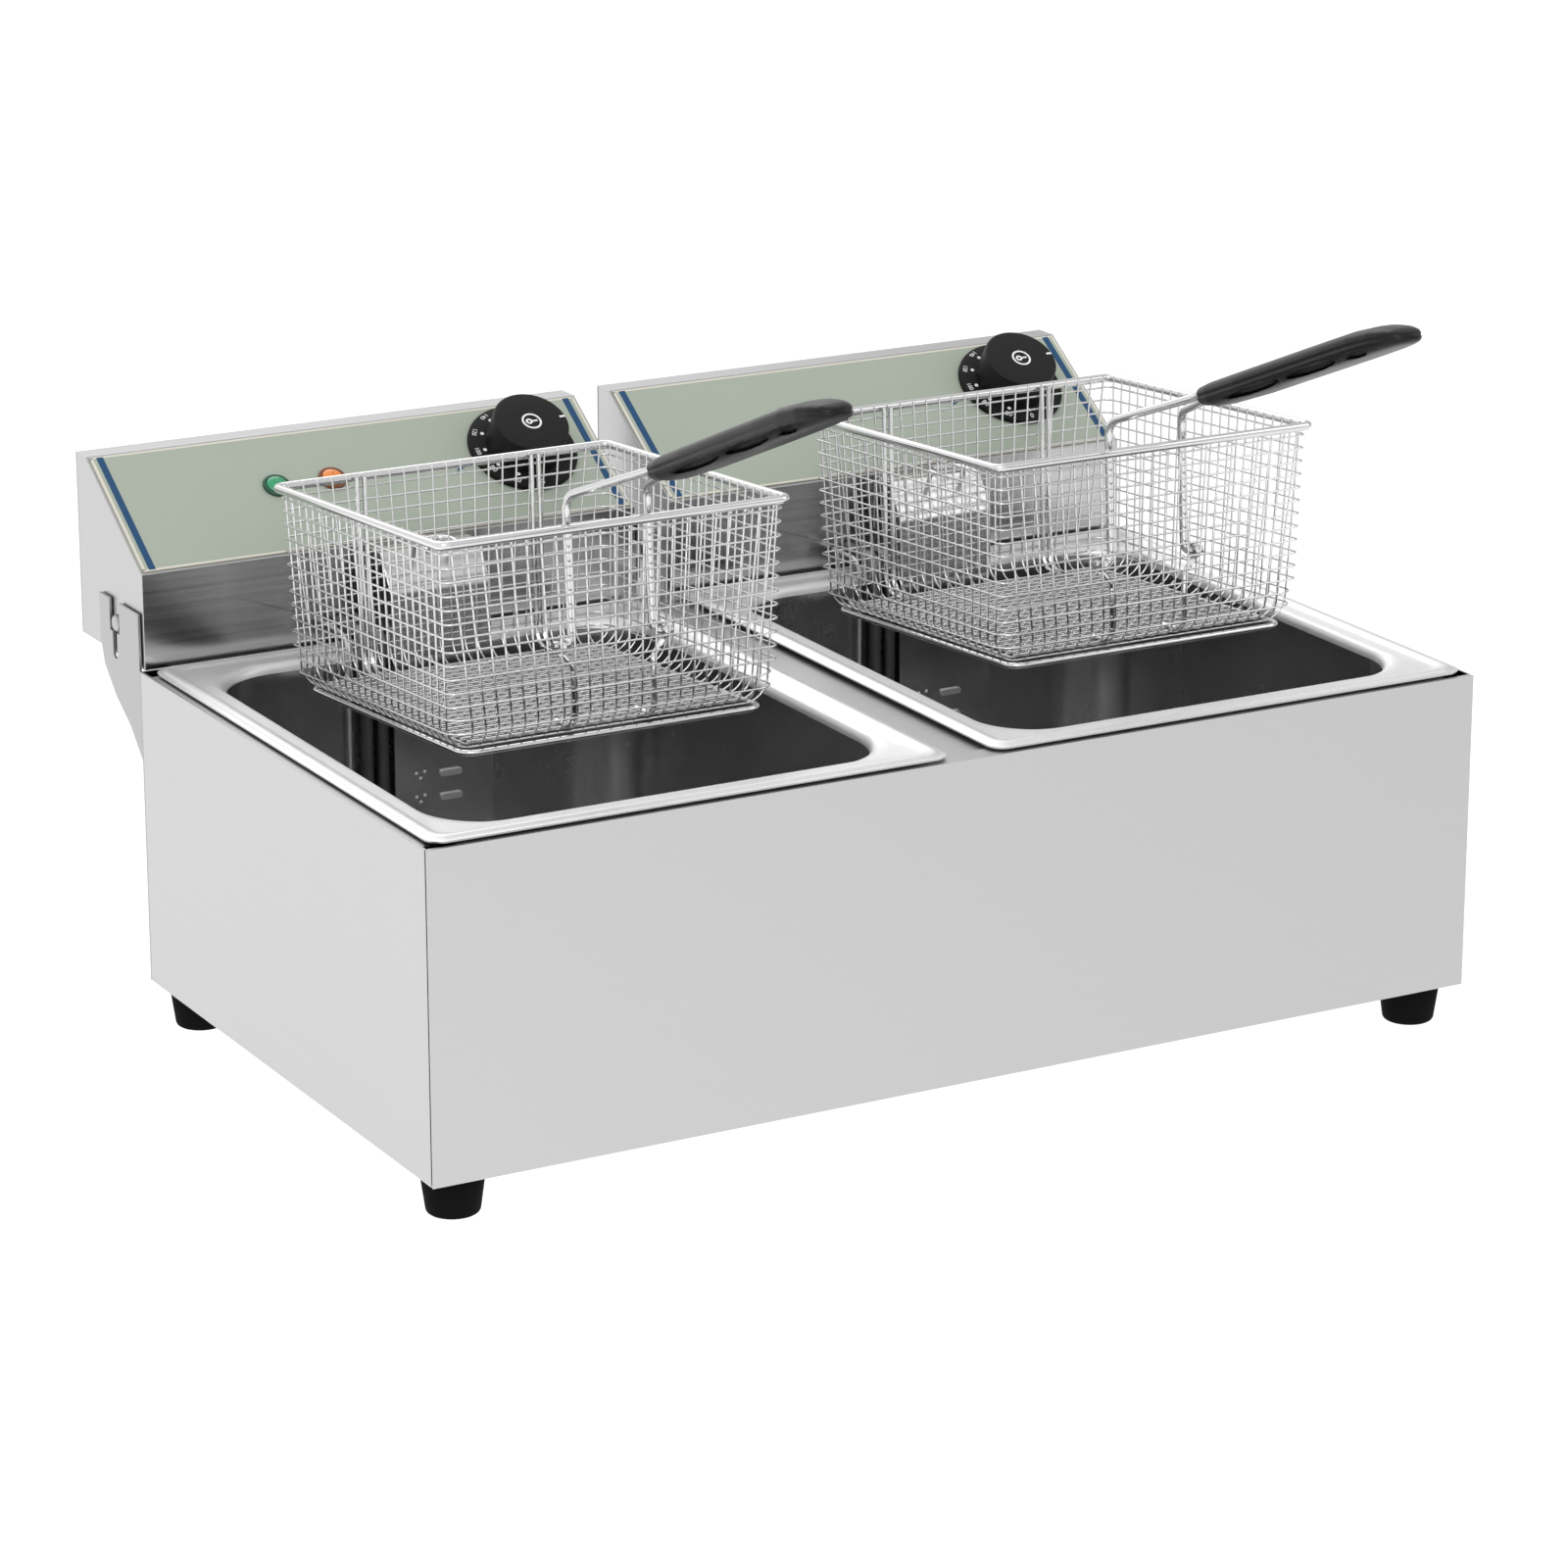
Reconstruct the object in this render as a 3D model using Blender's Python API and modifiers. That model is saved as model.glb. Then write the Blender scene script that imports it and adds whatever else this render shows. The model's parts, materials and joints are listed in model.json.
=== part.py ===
"""Countertop deep fryer with two lift-out tanks, two lift-off control heads and two wire baskets.

Metres, +Z up. The front looks along -Y, and the feet stand on Z = 0. Inside the fryer's own
frame, Y is counted back from the housing's front, and an empty carries that frame to the origin.
"""
import math

import bmesh
import bpy
from mathutils import Matrix, Quaternion, Vector

# ------------------------------------------------------------------ driving dimensions
WIDTH = 0.560            # housing and ears, left to right
DEPTH = 0.320            # housing, front to back
FOOT_HEIGHT = 0.020
FOOT_INSET = 0.0185
BODY_HEIGHT = 0.158
UNIT_X = 0.144           # centre of each tank and head from the middle
ORIGIN_BACK = 0.1553     # origin's distance behind the housing's front, mid-way along the whole

SHEET = 0.0008           # housing sheet
GAP = 0.0003             # between pieces that touch
FLANGE = 0.012           # folded edges of the front and back panels
SIDE_FLANGE = 0.016
BAR_WIDTH = 0.054        # cross bar between the tank openings

TANK_WIDTH = 0.265
TANK_LENGTH = 0.310
TANK_FRONT = 0.0025      # rim's front edge behind the housing's front
TANK_FLOOR = 0.034       # inside bottom above the table
TANK_SHEET = 0.001
RIM_WIDTH = 0.018
RIM_LIFT = 0.0036        # bead's top above the deck
RIM_BEAD = 0.0086        # inner edge of the raised bead

HEAD_WIDTH = 0.268
HEAD_FRONT = 0.318
HEAD_BACK = 0.396
HEAD_BOTTOM = 0.1787
HEAD_FOLD = 0.2265       # height of the fold between front face and slope
HEAD_TOP = 0.2705
SLOPE_BACK = 0.384       # where the slope meets the top
HEAD_SHEET = 0.001
COVER = 0.001

EAR = 0.0015
EAR_REACH = 0.0485
EAR_TOP = 0.2065
SLOT_Y = 0.350
SLOT_WIDTH = 0.012
SHOULDER = 0.1905        # where the wide slot ends and the pin rests
PIN_RADIUS = 0.004

PANEL_MARGIN = 0.002
OVERLAY = 0.0004
KNOB_X = 0.090
KNOB_UP = 0.0465         # up the slope from its lower edge
KNOB_SKIRT = 0.0285
KNOB_CAP = 0.0197
KNOB_HEIGHT = 0.022
SPINDLE_RADIUS = 0.003
LAMP_X = {"green": -0.046, "amber": -0.016}
LAMP_UP = 0.044
LAMP_HOLE = 0.0045

BRACKET_X = 0.0115
BRACKET_WIDTH = 0.054
BRACKET_FRONT = 0.289
BRACKET_TOP = 0.226
BRACKET_FOOT = 0.064
BRACKET_SHEET = 0.0015

ELEMENT_RADIUS = 0.00325
ELEMENT_Y = 0.2896
ELEMENT_OUT = 0.190      # height where the tubes leave the head
ELEMENT_LEGS = (-0.030, -0.022)
ELEMENT_Z = 0.052
BULB_X = -0.039
BULB_Z = 0.070

BASKET_X = {"left": 0.014, "right": 0.020}   # each hangs a little differently on its bracket
BASKET_Y = 0.197
BASKET_Z = 0.2781        # middle of the rim's top
BASKET_TILT = math.radians(-4.1)
BASKET_WIDTH = 0.184
BASKET_LENGTH = 0.187
BASKET_HEIGHT = 0.104
FLOOR_WIDTH = 0.155
FLOOR_LENGTH = 0.174
FLOOR_SHIFT = 0.005
WALL_FOOT = 0.014        # height above the floor where the walls turn in
WALL_INSET = 0.0065      # side walls' lean at that height
MESH_WALL = 0.0011
RIM_WIRE = 0.0022        # radius
HOOK_WIRE = 0.0015

HANDLE_Y = -0.0815       # hinge axis, in the basket's frame
HANDLE_Z = -0.0578
HANDLE_HALF = 0.021
HANDLE_WIRE = 0.0021
CROSSBAR = 0.0018        # radius
CROSSBAR_UP = 0.053      # above the hinge axis, at the height of the basket's rim
HANDLE_RISE = math.radians(17.9)
HANDLE_BEND = 0.0691     # corner of leg and shank above the hinge axis
GRIP_FROM = 0.062       # along the shank, from the corner
GRIP_LENGTH = 0.170
WIRE_PITCH = 0.0065      # half the wires' spacing inside the grip
TANG = 0.060             # how far the wire reaches into the grip

Z_BASE = FOOT_HEIGHT
Z_DECK = FOOT_HEIGHT + BODY_HEIGHT

STEEL = ("brushed_steel", (0.72, 0.72, 0.71), 0.34, 1.0)
DARK_STEEL = ("steel_edge", (0.60, 0.60, 0.60), 0.40, 1.0)
BRIGHT = ("polished_steel", (0.78, 0.78, 0.78), 0.16, 1.0)
WIRE = ("wire_chrome", (0.80, 0.80, 0.81), 0.14, 1.0)
RUBBER = ("black_rubber", (0.018, 0.018, 0.018), 0.75, 0.0)
BLACK = ("black_plastic", (0.022, 0.022, 0.022), 0.48, 0.0)
GREEN_GREY = ("overlay_print", (0.43, 0.49, 0.41), 0.42, 0.0)
GREEN = ("green_lens", (0.02, 0.42, 0.16), 0.18, 0.0)
AMBER = ("amber_lens", (0.85, 0.28, 0.03), 0.18, 0.0)
CERAMIC = ("terminal_ceramic", (0.85, 0.83, 0.78), 0.55, 0.0)
RED = ("reset_red", (0.62, 0.03, 0.02), 0.40, 0.0)


# ------------------------------------------------------------------ scene and helpers
def new_collection(name):
    collection = bpy.data.collections.new(name)
    bpy.context.scene.collection.children.link(collection)
    return collection


def clear_scene():
    for obj in list(bpy.data.objects):
        bpy.data.objects.remove(obj, do_unlink=True)


clear_scene()
PARTS = new_collection("deep_fryer")
CUTTERS = new_collection("cutters")


def material(finish):
    name, colour, roughness, metallic = finish
    found = bpy.data.materials.get(name)
    if found:
        return found
    made = bpy.data.materials.new(name)
    made.use_nodes = True
    shader = made.node_tree.nodes["Principled BSDF"]
    shader.inputs["Base Color"].default_value = (*colour, 1.0)
    shader.inputs["Roughness"].default_value = roughness
    shader.inputs["Metallic"].default_value = metallic
    return made


def empty(name, parent, location=(0, 0, 0), rotation=(0, 0, 0)):
    holder = bpy.data.objects.new(name, None)
    PARTS.objects.link(holder)
    holder.parent = parent
    holder.location = location
    holder.rotation_euler = rotation
    return holder


def place(name, mesh, finish, parent, matrix=None):
    obj = bpy.data.objects.new(name, mesh)
    PARTS.objects.link(obj)
    obj.parent = parent
    if matrix is not None:
        obj.matrix_local = matrix
    mesh.materials.clear()
    mesh.materials.append(material(finish))
    return obj


def boolean(target, cutter, operation="DIFFERENCE"):
    for owner in list(cutter.users_collection):
        owner.objects.unlink(cutter)
    CUTTERS.objects.link(cutter)
    cutter.hide_render = True
    cutter.display_type = "WIRE"
    modifier = target.modifiers.new(cutter.name, "BOOLEAN")
    modifier.operation = operation
    modifier.solver = "EXACT"
    modifier.object = cutter


def finish_mesh(bm, name):
    bmesh.ops.recalc_face_normals(bm, faces=bm.faces)
    mesh = bpy.data.meshes.new(name)
    bm.to_mesh(mesh)
    bm.free()
    return mesh


def box(name, low, high, finish, parent, bevel=0.0):
    bm = bmesh.new()
    size = [b - a for a, b in zip(low, high)]
    middle = [(a + b) / 2 for a, b in zip(low, high)]
    bmesh.ops.create_cube(bm, size=1.0)
    bmesh.ops.scale(bm, vec=size, verts=bm.verts)
    bmesh.ops.translate(bm, vec=middle, verts=bm.verts)
    obj = place(name, finish_mesh(bm, name), finish, parent)
    if bevel:
        edge = obj.modifiers.new("edges", "BEVEL")
        edge.width = bevel
        edge.segments = 2
    return obj


def cylinder(name, radius, low, high, finish, parent, matrix=None, segments=16):
    """A cylinder along local Z from low to high."""
    bm = bmesh.new()
    bmesh.ops.create_cone(bm, cap_ends=True, segments=segments, radius1=radius, radius2=radius,
                          depth=high - low)
    bmesh.ops.translate(bm, vec=(0, 0, (low + high) / 2), verts=bm.verts)
    return place(name, finish_mesh(bm, name), finish, parent, matrix)


def turned(name, profile, finish, parent, matrix=None, steps=28, ring=False):
    """Profile points (radius, height) go down the outer side; ring closes them off the axis."""
    mesh = bpy.data.meshes.new(name)
    edges = [(i, i + 1) for i in range(len(profile) - 1)]
    if ring:
        edges.append((len(profile) - 1, 0))
    mesh.from_pydata([(r, 0, z) for r, z in profile], edges, [])
    obj = place(name, mesh, finish, parent, matrix)
    screw = obj.modifiers.new("turn", "SCREW")
    screw.steps = steps
    screw.render_steps = steps
    screw.use_merge_vertices = True
    screw.merge_threshold = 0.00001
    screw.use_smooth_shade = True
    return obj


def curve_mesh(curve, name, matrix=None):
    """The evaluated curve as a welded mesh."""
    holder = bpy.data.objects.new(name, curve)
    bpy.context.scene.collection.objects.link(holder)
    bpy.context.view_layer.update()
    evaluated = holder.evaluated_get(bpy.context.evaluated_depsgraph_get())
    raw = bpy.data.meshes.new_from_object(evaluated)
    bpy.data.objects.remove(holder, do_unlink=True)
    bpy.data.curves.remove(curve)
    bm = bmesh.new()
    bm.from_mesh(raw)
    bpy.data.meshes.remove(raw)
    bmesh.ops.remove_doubles(bm, verts=bm.verts, dist=0.00001)
    if matrix is not None:
        bm.transform(matrix)
    return finish_mesh(bm, name)


def spline(curve, points, closed):
    line = curve.splines.new("POLY")
    line.points.add(len(points) - 1)
    for target, point in zip(line.points, points):
        target.co = (*Vector(point).to_3d(), 1.0)
    line.use_cyclic_u = closed
    return line


def tube(name, points, radius, finish, parent, closed=False, swell=None):
    """A round wire or tube along points; swell scales the radius at each of them."""
    curve = bpy.data.curves.new(name, "CURVE")
    curve.dimensions = "3D"
    curve.bevel_depth = radius
    curve.bevel_resolution = 2
    curve.use_fill_caps = True
    line = spline(curve, points, closed)
    for target, factor in zip(line.points, swell or []):
        target.radius = factor
    mesh = curve_mesh(curve, name)
    mesh.shade_smooth()
    return place(name, mesh, finish, parent)


ALONG = {
    "X": Matrix(((0, 0, 1, 0), (1, 0, 0, 0), (0, 1, 0, 0), (0, 0, 0, 1))),   # outline in (y, z)
    "Z": Matrix.Identity(4),                                                 # outline in (x, y)
}


def prism(name, outline, low, high, axis, finish, parent):
    """A flat outline as thick as low to high along X (outline in y, z) or Z (outline in x, y)."""
    curve = bpy.data.curves.new(name, "CURVE")
    curve.dimensions = "2D"
    curve.fill_mode = "BOTH"
    curve.extrude = (high - low) / 2
    spline(curve, outline, closed=True)
    matrix = ALONG[axis] @ Matrix.Translation((0, 0, (low + high) / 2))
    return place(name, curve_mesh(curve, name, matrix), finish, parent)


def rounded_path(corners, radii, steps=4, closed=False):
    """Straight runs between corners, with an arc of the given radius at each inner corner."""
    corners = [Vector(corner).to_3d() for corner in corners]
    if not isinstance(radii, (list, tuple)):
        radii = [radii] * len(corners)
    path = []
    for i, corner in enumerate(corners):
        if radii[i] == 0 or (not closed and i in (0, len(corners) - 1)):
            path.append(corner)
            continue
        before = (corners[i - 1] - corner).normalized()
        after = (corners[(i + 1) % len(corners)] - corner).normalized()
        half = before.angle(after) / 2
        centre = corner + (before + after).normalized() * radii[i] / math.sin(half)
        start = corner + before * radii[i] / math.tan(half) - centre
        axis = before.cross(after)
        for k in range(steps + 1):
            path.append(centre + Quaternion(-axis, (math.pi - 2 * half) * k / steps) @ start)
    return path


def offset_line(points, distance):
    """An open 2D line moved sideways by distance, with mitred corners."""
    points = [Vector(point) for point in points]
    sides = []
    for a, b in zip(points, points[1:]):
        along = (b - a).normalized()
        sides.append(Vector((-along.y, along.x)))
    moved = [points[0] + sides[0] * distance]
    for point, left, right in zip(points[1:], sides, sides[1:]):
        mitre = (left + right).normalized()
        moved.append(point + mitre * distance / mitre.dot(left))
    moved.append(points[-1] + sides[-1] * distance)
    return moved


def strip(points, thickness):
    """The closed outline of bent sheet: an open line and its copy on its left side."""
    return [Vector(p) for p in points] + list(reversed(offset_line(points, thickness)))


def rounded_ring(width, length, radius, z, middle_y=0.0, steps=3):
    x, y = width / 2, length / 2
    corners = [(x, -y, z), (x, y, z), (-x, y, z), (-x, -y, z)]
    ring = rounded_path(corners, radius, steps, closed=True)
    return [Vector((p.x, p.y + middle_y, p.z)) for p in ring]


def loft(name, rings, finish, parent):
    """A closed solid through rings of equal point counts, flat over the first and the last."""
    bm = bmesh.new()
    loops = [[bm.verts.new(point) for point in ring] for ring in rings]
    for low, high in zip(loops, loops[1:]):
        for i in range(len(low)):
            j = (i + 1) % len(low)
            bm.faces.new((low[i], low[j], high[j], high[i]))
    bm.faces.new(loops[0])
    bm.faces.new(loops[-1])
    return place(name, finish_mesh(bm, name), finish, parent)


# ------------------------------------------------------------------ housing
def cross_panel(name, front, parent):
    """Front or back panel: an upright sheet with a flange folded inwards at top and bottom."""
    face = 0.0 if front else DEPTH
    inward = 1 if front else -1
    line = [(face + inward * FLANGE, Z_DECK), (face, Z_DECK), (face, Z_BASE), (face + inward * FLANGE, Z_BASE)]
    panel = prism(name, strip(line, inward * SHEET), -WIDTH / 2, WIDTH / 2, "X", STEEL, parent)
    notch_from = SHEET + GAP / 2
    for side in (-1, 1):
        outer = side * (WIDTH / 2 + 0.005)
        inner = side * (WIDTH / 2 - SHEET - GAP)
        edges = sorted((face + inward * notch_from, face + inward * (FLANGE + 0.005)))
        spans = sorted((outer, inner))
        corner = box(f"{name}_notch_{'left' if side < 0 else 'right'}", (spans[0], edges[0], Z_BASE - 0.005),
                     (spans[1], edges[1], Z_DECK + 0.005), STEEL, parent)
        boolean(panel, corner)


def side_panel(name, side, parent):
    """Side panel with top and bottom flanges that stop short of the front and back flanges."""
    face = side * WIDTH / 2
    inner = face - side * SIDE_FLANGE
    line = [(inner, Z_DECK), (face, Z_DECK), (face, Z_BASE), (inner, Z_BASE)]
    outline = strip(line, -side * SHEET)
    mesh_box = prism(name, [(p.x, p.y) for p in outline], -(DEPTH - SHEET - GAP), -(SHEET + GAP), "Z",
                     STEEL, parent)
    mesh_box.data.transform(Matrix.Rotation(math.radians(90), 4, "X"))
    for end, limits in (("front", (0.0, FLANGE + GAP)), ("back", (DEPTH - FLANGE - GAP, DEPTH))):
        spans = sorted((face - side * (SHEET + GAP), inner - side * 0.005))
        corner = box(f"{name}_notch_{end}", (spans[0], limits[0], Z_BASE - 0.005),
                     (spans[1], limits[1], Z_DECK + 0.005), STEEL, parent)
        boolean(mesh_box, corner)


def foot(name, x, y, parent):
    height = Z_BASE - GAP
    profile = [(0, height), (0.0146, height), (0.0150, height - 0.0010), (0.0126, 0.0012),
               (0.0116, 0.0), (0, 0.0)]
    turned(name, profile, RUBBER, parent, Matrix.Translation((x, y, 0)), steps=16)


def ear(name, outer_x, inward, parent):
    """Slotted hook plate behind the housing, with a flange against the back panel."""
    back = DEPTH + GAP
    tip = DEPTH + EAR_REACH
    half = SLOT_WIDTH / 2
    narrow = 0.0025
    slot_end = 0.1795
    top = EAR_TOP
    edge = [(back, top), (back, 0.133), (back + 0.014, 0.147), (back + 0.031, 0.158),
            (tip - 0.004, 0.171), (tip, 0.183), (tip, top), (SLOT_Y + half, top), (SLOT_Y + half, SHOULDER),
            (SLOT_Y + narrow, SHOULDER), (SLOT_Y + narrow, slot_end)]
    bottom = [(SLOT_Y + narrow * math.cos(a), slot_end - narrow * math.sin(a))
              for a in (math.radians(30 * k) for k in range(1, 6))]
    rest = [(SLOT_Y - narrow, slot_end), (SLOT_Y - narrow, SHOULDER), (SLOT_Y - half, SHOULDER),
            (SLOT_Y - half, top)]
    spans = sorted((outer_x, outer_x + inward * EAR))
    plate = prism(name, edge + bottom + rest, spans[0], spans[1], "X", STEEL, parent)
    reach = sorted((outer_x + inward * 0.0004, outer_x + inward * 0.018))
    flange = box(f"{name}_flange", (reach[0], back, 0.136), (reach[1], back + EAR, 0.176), STEEL, parent)
    boolean(plate, flange, "UNION")


def housing(parent):
    cross_panel("front_panel", True, parent)
    cross_panel("back_panel", False, parent)
    side_panel("side_panel_left", -1, parent)
    side_panel("side_panel_right", 1, parent)
    under = Z_DECK - SHEET - GAP
    box("deck_bar", (-BAR_WIDTH / 2, SHEET + GAP, under - 0.0012), (BAR_WIDTH / 2, DEPTH - SHEET - GAP, under),
        STEEL, parent)
    edge_x = WIDTH / 2 - SHEET - GAP
    floor = Z_BASE + SHEET + GAP
    box("base_plate", (-edge_x, SHEET + GAP, floor), (edge_x, DEPTH - SHEET - GAP, floor + 0.001),
        DARK_STEEL, parent)
    for row, y in (("front", FOOT_INSET), ("back", DEPTH - FOOT_INSET)):
        for side, x in (("left", -1), ("right", 1)):
            foot(f"foot_{row}_{side}", x * (WIDTH / 2 - FOOT_INSET), y, parent)
    head_side = UNIT_X - HEAD_WIDTH / 2
    ear("ear_left_outer", -WIDTH / 2, 1, parent)
    ear("ear_left_inner", -(head_side - 0.002), -1, parent)
    ear("ear_right_inner", head_side - 0.002, 1, parent)
    ear("ear_right_outer", WIDTH / 2, -1, parent)


# ------------------------------------------------------------------ tank
def tank_radius(inset):
    """Corner radius in plan: small round the bead, generous at the opening."""
    share = min(1.0, max(0.0, (inset - RIM_BEAD) / (RIM_WIDTH - RIM_BEAD)))
    return 0.008 + 0.028 * share - 0.6 * max(0.0, inset - RIM_WIDTH)


def tank(side, parent):
    top = Z_DECK + RIM_LIFT
    line = [(0.0, top - 0.0014), (0.0018, top - 0.0013), (0.0028, top - 0.0003), (0.0045, top),
            (0.0068, top - 0.0003), (RIM_BEAD, top - 0.0012), (RIM_WIDTH - 0.0030, top - 0.0014),
            (RIM_WIDTH - 0.0008, top - 0.0023), (RIM_WIDTH, top - 0.0048),
            (RIM_WIDTH + 0.0012, TANK_FLOOR + 0.012), (RIM_WIDTH + 0.0048, TANK_FLOOR + 0.0035), (RIM_WIDTH + 0.0130, TANK_FLOOR)]
    under = offset_line(line, -TANK_SHEET)
    profile = [Vector(p) for p in reversed(line)] + under
    middle = TANK_FRONT + TANK_LENGTH / 2
    rings = [rounded_ring(TANK_WIDTH - 2 * p.x, TANK_LENGTH - 2 * p.x, tank_radius(p.x), p.y, middle, 4)
             for p in profile]
    loft(f"tank_{side}", rings, BRIGHT, parent)


# ------------------------------------------------------------------ control head
SLOPE = Vector((0, SLOPE_BACK - HEAD_FRONT, HEAD_TOP - HEAD_FOLD))
SLOPE_ANGLE = math.atan2(SLOPE.z, SLOPE.y)


def on_slope(x, up, out=0.0):
    """Frame on the slope: local Y up the slope, local Z away from it."""
    turn = Matrix.Rotation(SLOPE_ANGLE, 4, "X")
    return Matrix.Translation((x, HEAD_FRONT, HEAD_FOLD)) @ turn @ Matrix.Translation((0, up, out))


def facing_back(x, z):
    """Frame on the rear cover: local Z points backwards."""
    return Matrix.Translation((x, HEAD_BACK + GAP + COVER, z)) @ Matrix.Rotation(math.radians(-90), 4, "X")


def facing_front(x, z):
    """Frame on the head's front face: local Z points forwards."""
    return Matrix.Translation((x, HEAD_FRONT, z)) @ Matrix.Rotation(math.radians(90), 4, "X")


def facing_side(x, y, z):
    return Matrix.Translation((x, y, z)) @ Matrix.Rotation(math.radians(90), 4, "Y")


GLAND_AT = (-0.085, 0.205)
RESET_AT = (0.060, 0.212)
PIN_Z = SHOULDER + PIN_RADIUS + GAP


def head_case(side, parent):
    """Folded shell, open at the back, with holes for everything that passes through it."""
    name = f"head_case_{side}"
    half = HEAD_WIDTH / 2
    outline = [(HEAD_FRONT, HEAD_BOTTOM), (HEAD_BACK, HEAD_BOTTOM), (HEAD_BACK, HEAD_TOP),
               (SLOPE_BACK, HEAD_TOP), (HEAD_FRONT, HEAD_FOLD)]
    case = prism(name, outline, -half, half, "X", STEEL, parent)
    inner_line = [(HEAD_BACK + 0.01, HEAD_BOTTOM), (HEAD_FRONT, HEAD_BOTTOM), (HEAD_FRONT, HEAD_FOLD),
                  (SLOPE_BACK, HEAD_TOP), (HEAD_BACK + 0.01, HEAD_TOP)]
    inner = prism(f"{name}_inside", offset_line(inner_line, -HEAD_SHEET), -half + HEAD_SHEET,
                  half - HEAD_SHEET, "X", STEEL, parent)
    boolean(case, inner)
    reach = 0.004
    holes = [("spindle", SPINDLE_RADIUS + 0.0006, on_slope(KNOB_X, KNOB_UP))]
    holes += [(f"lamp_{colour}", LAMP_HOLE + GAP, on_slope(x, LAMP_UP)) for colour, x in LAMP_X.items()]
    holes += [(f"tube_{i}", ELEMENT_RADIUS + 0.0005, facing_front(x, ELEMENT_OUT))
              for i, x in enumerate(ELEMENT_LEGS)]
    holes.append(("capillary", 0.0018, facing_front(BULB_X, ELEMENT_OUT)))
    holes += [(f"pin_{i}", PIN_RADIUS + GAP, facing_side(x, SLOT_Y, PIN_Z)) for i, x in enumerate((-half, half))]
    for label, radius, matrix in holes:
        boolean(case, cylinder(f"{name}_{label}", radius, -reach, reach, STEEL, parent, matrix, segments=12))


def head_cover(side, parent):
    name = f"head_cover_{side}"
    half = HEAD_WIDTH / 2
    low = HEAD_BACK + GAP
    cover = box(name, (-half, low, HEAD_BOTTOM), (half, low + COVER, HEAD_TOP), STEEL, parent)
    for label, radius, (x, z) in (("gland", 0.0093, GLAND_AT), ("reset", 0.0043, RESET_AT)):
        boolean(cover, cylinder(f"{name}_{label}", radius, -0.004, 0.004, STEEL, parent, facing_back(x, z)))


def overlay(side, parent):
    """Thin printed panel on the slope."""
    name = f"overlay_{side}"
    half = HEAD_WIDTH / 2 - PANEL_MARGIN
    low, high = PANEL_MARGIN, SLOPE.length - PANEL_MARGIN
    outline = rounded_path([(-half, low), (half, low), (half, high), (-half, high)], 0.003, 3, closed=True)
    sheet = prism(name, outline, GAP, GAP + OVERLAY, "Z", GREEN_GREY, parent)
    sheet.matrix_local = on_slope(0, 0)
    holes = [("spindle", SPINDLE_RADIUS + 0.0006, on_slope(KNOB_X, KNOB_UP))]
    holes += [(f"lamp_{colour}", LAMP_HOLE + GAP, on_slope(x, LAMP_UP)) for colour, x in LAMP_X.items()]
    for label, radius, matrix in holes:
        boolean(sheet, cylinder(f"{name}_{label}", radius, -0.004, 0.004, STEEL, parent, matrix, segments=12))


def lamp(side, colour, finish, parent):
    """Nearly flat lens in a bezel on the overlay, with a stem through the case."""
    face = 2 * GAP + OVERLAY
    profile = [(0, face + 0.0027), (0.0038, face + 0.0025), (0.0052, face + 0.0018), (0.0056, face + 0.0012),
               (0.0070, face + 0.0011), (0.0072, face + 0.0006), (0.0072, face), (LAMP_HOLE, face),
               (LAMP_HOLE, -0.012), (0, -0.012)]
    turned(f"lamp_{colour}_{side}", profile, finish, parent, on_slope(LAMP_X[colour], LAMP_UP), steps=14)


def knob(side, parent):
    """Dial skirt and cap in one moulding, bored for the spindle."""
    holder = empty(f"knob_axis_{side}", parent)
    holder.matrix_local = on_slope(KNOB_X, KNOB_UP)
    low = 2 * GAP + OVERLAY + 0.0004
    bore = SPINDLE_RADIUS + 0.0002
    profile = [(0, KNOB_HEIGHT), (KNOB_CAP - 0.0012, KNOB_HEIGHT), (KNOB_CAP - 0.0003, KNOB_HEIGHT - 0.0004),
               (KNOB_CAP, KNOB_HEIGHT - 0.0014), (KNOB_CAP, low + 0.0036), (KNOB_SKIRT - 0.0008, low + 0.0026),
               (KNOB_SKIRT, low + 0.0018), (KNOB_SKIRT, low), (bore, low), (bore, 0.0160), (0, 0.0160)]
    turned(f"knob_{side}", profile, BLACK, holder, steps=24)
    cylinder(f"spindle_{side}", SPINDLE_RADIUS, -0.0075, 0.0155, DARK_STEEL, holder, segments=12)


def thermostat(side, parent):
    low, high = -0.0330, -0.0080
    body = box(f"thermostat_{side}", (-0.016, -0.017, low), (0.016, 0.017, high), BLACK, parent)
    body.matrix_local = on_slope(KNOB_X, KNOB_UP)


def pins(side, parent):
    """Hanging pins that rest on the shoulders of the ear slots."""
    for place_name, sign in (("left", -1), ("right", 1)):
        outer = sign * (HEAD_WIDTH / 2 + 0.002)
        inner = sign * (HEAD_WIDTH / 2 - 0.006)
        low, high = sorted((outer, inner))
        cylinder(f"head_pin_{place_name}_{side}", PIN_RADIUS, low, high, DARK_STEEL, parent,
                 facing_side(0, SLOT_Y, PIN_Z), segments=16)


def element_bracket(side, parent):
    """Folded plate from the head over the tank's rim, down in front of its back wall."""
    line = [(HEAD_FRONT - GAP, ELEMENT_OUT + 0.008), (HEAD_FRONT - GAP, BRACKET_TOP),
            (BRACKET_FRONT + 0.012, BRACKET_TOP), (BRACKET_FRONT, BRACKET_TOP - 0.019),
            (BRACKET_FRONT, BRACKET_FOOT)]
    half = BRACKET_WIDTH / 2
    prism(f"element_bracket_{side}", strip(line, BRACKET_SHEET), BRACKET_X - half, BRACKET_X + half, "X",
          STEEL, parent)


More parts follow.
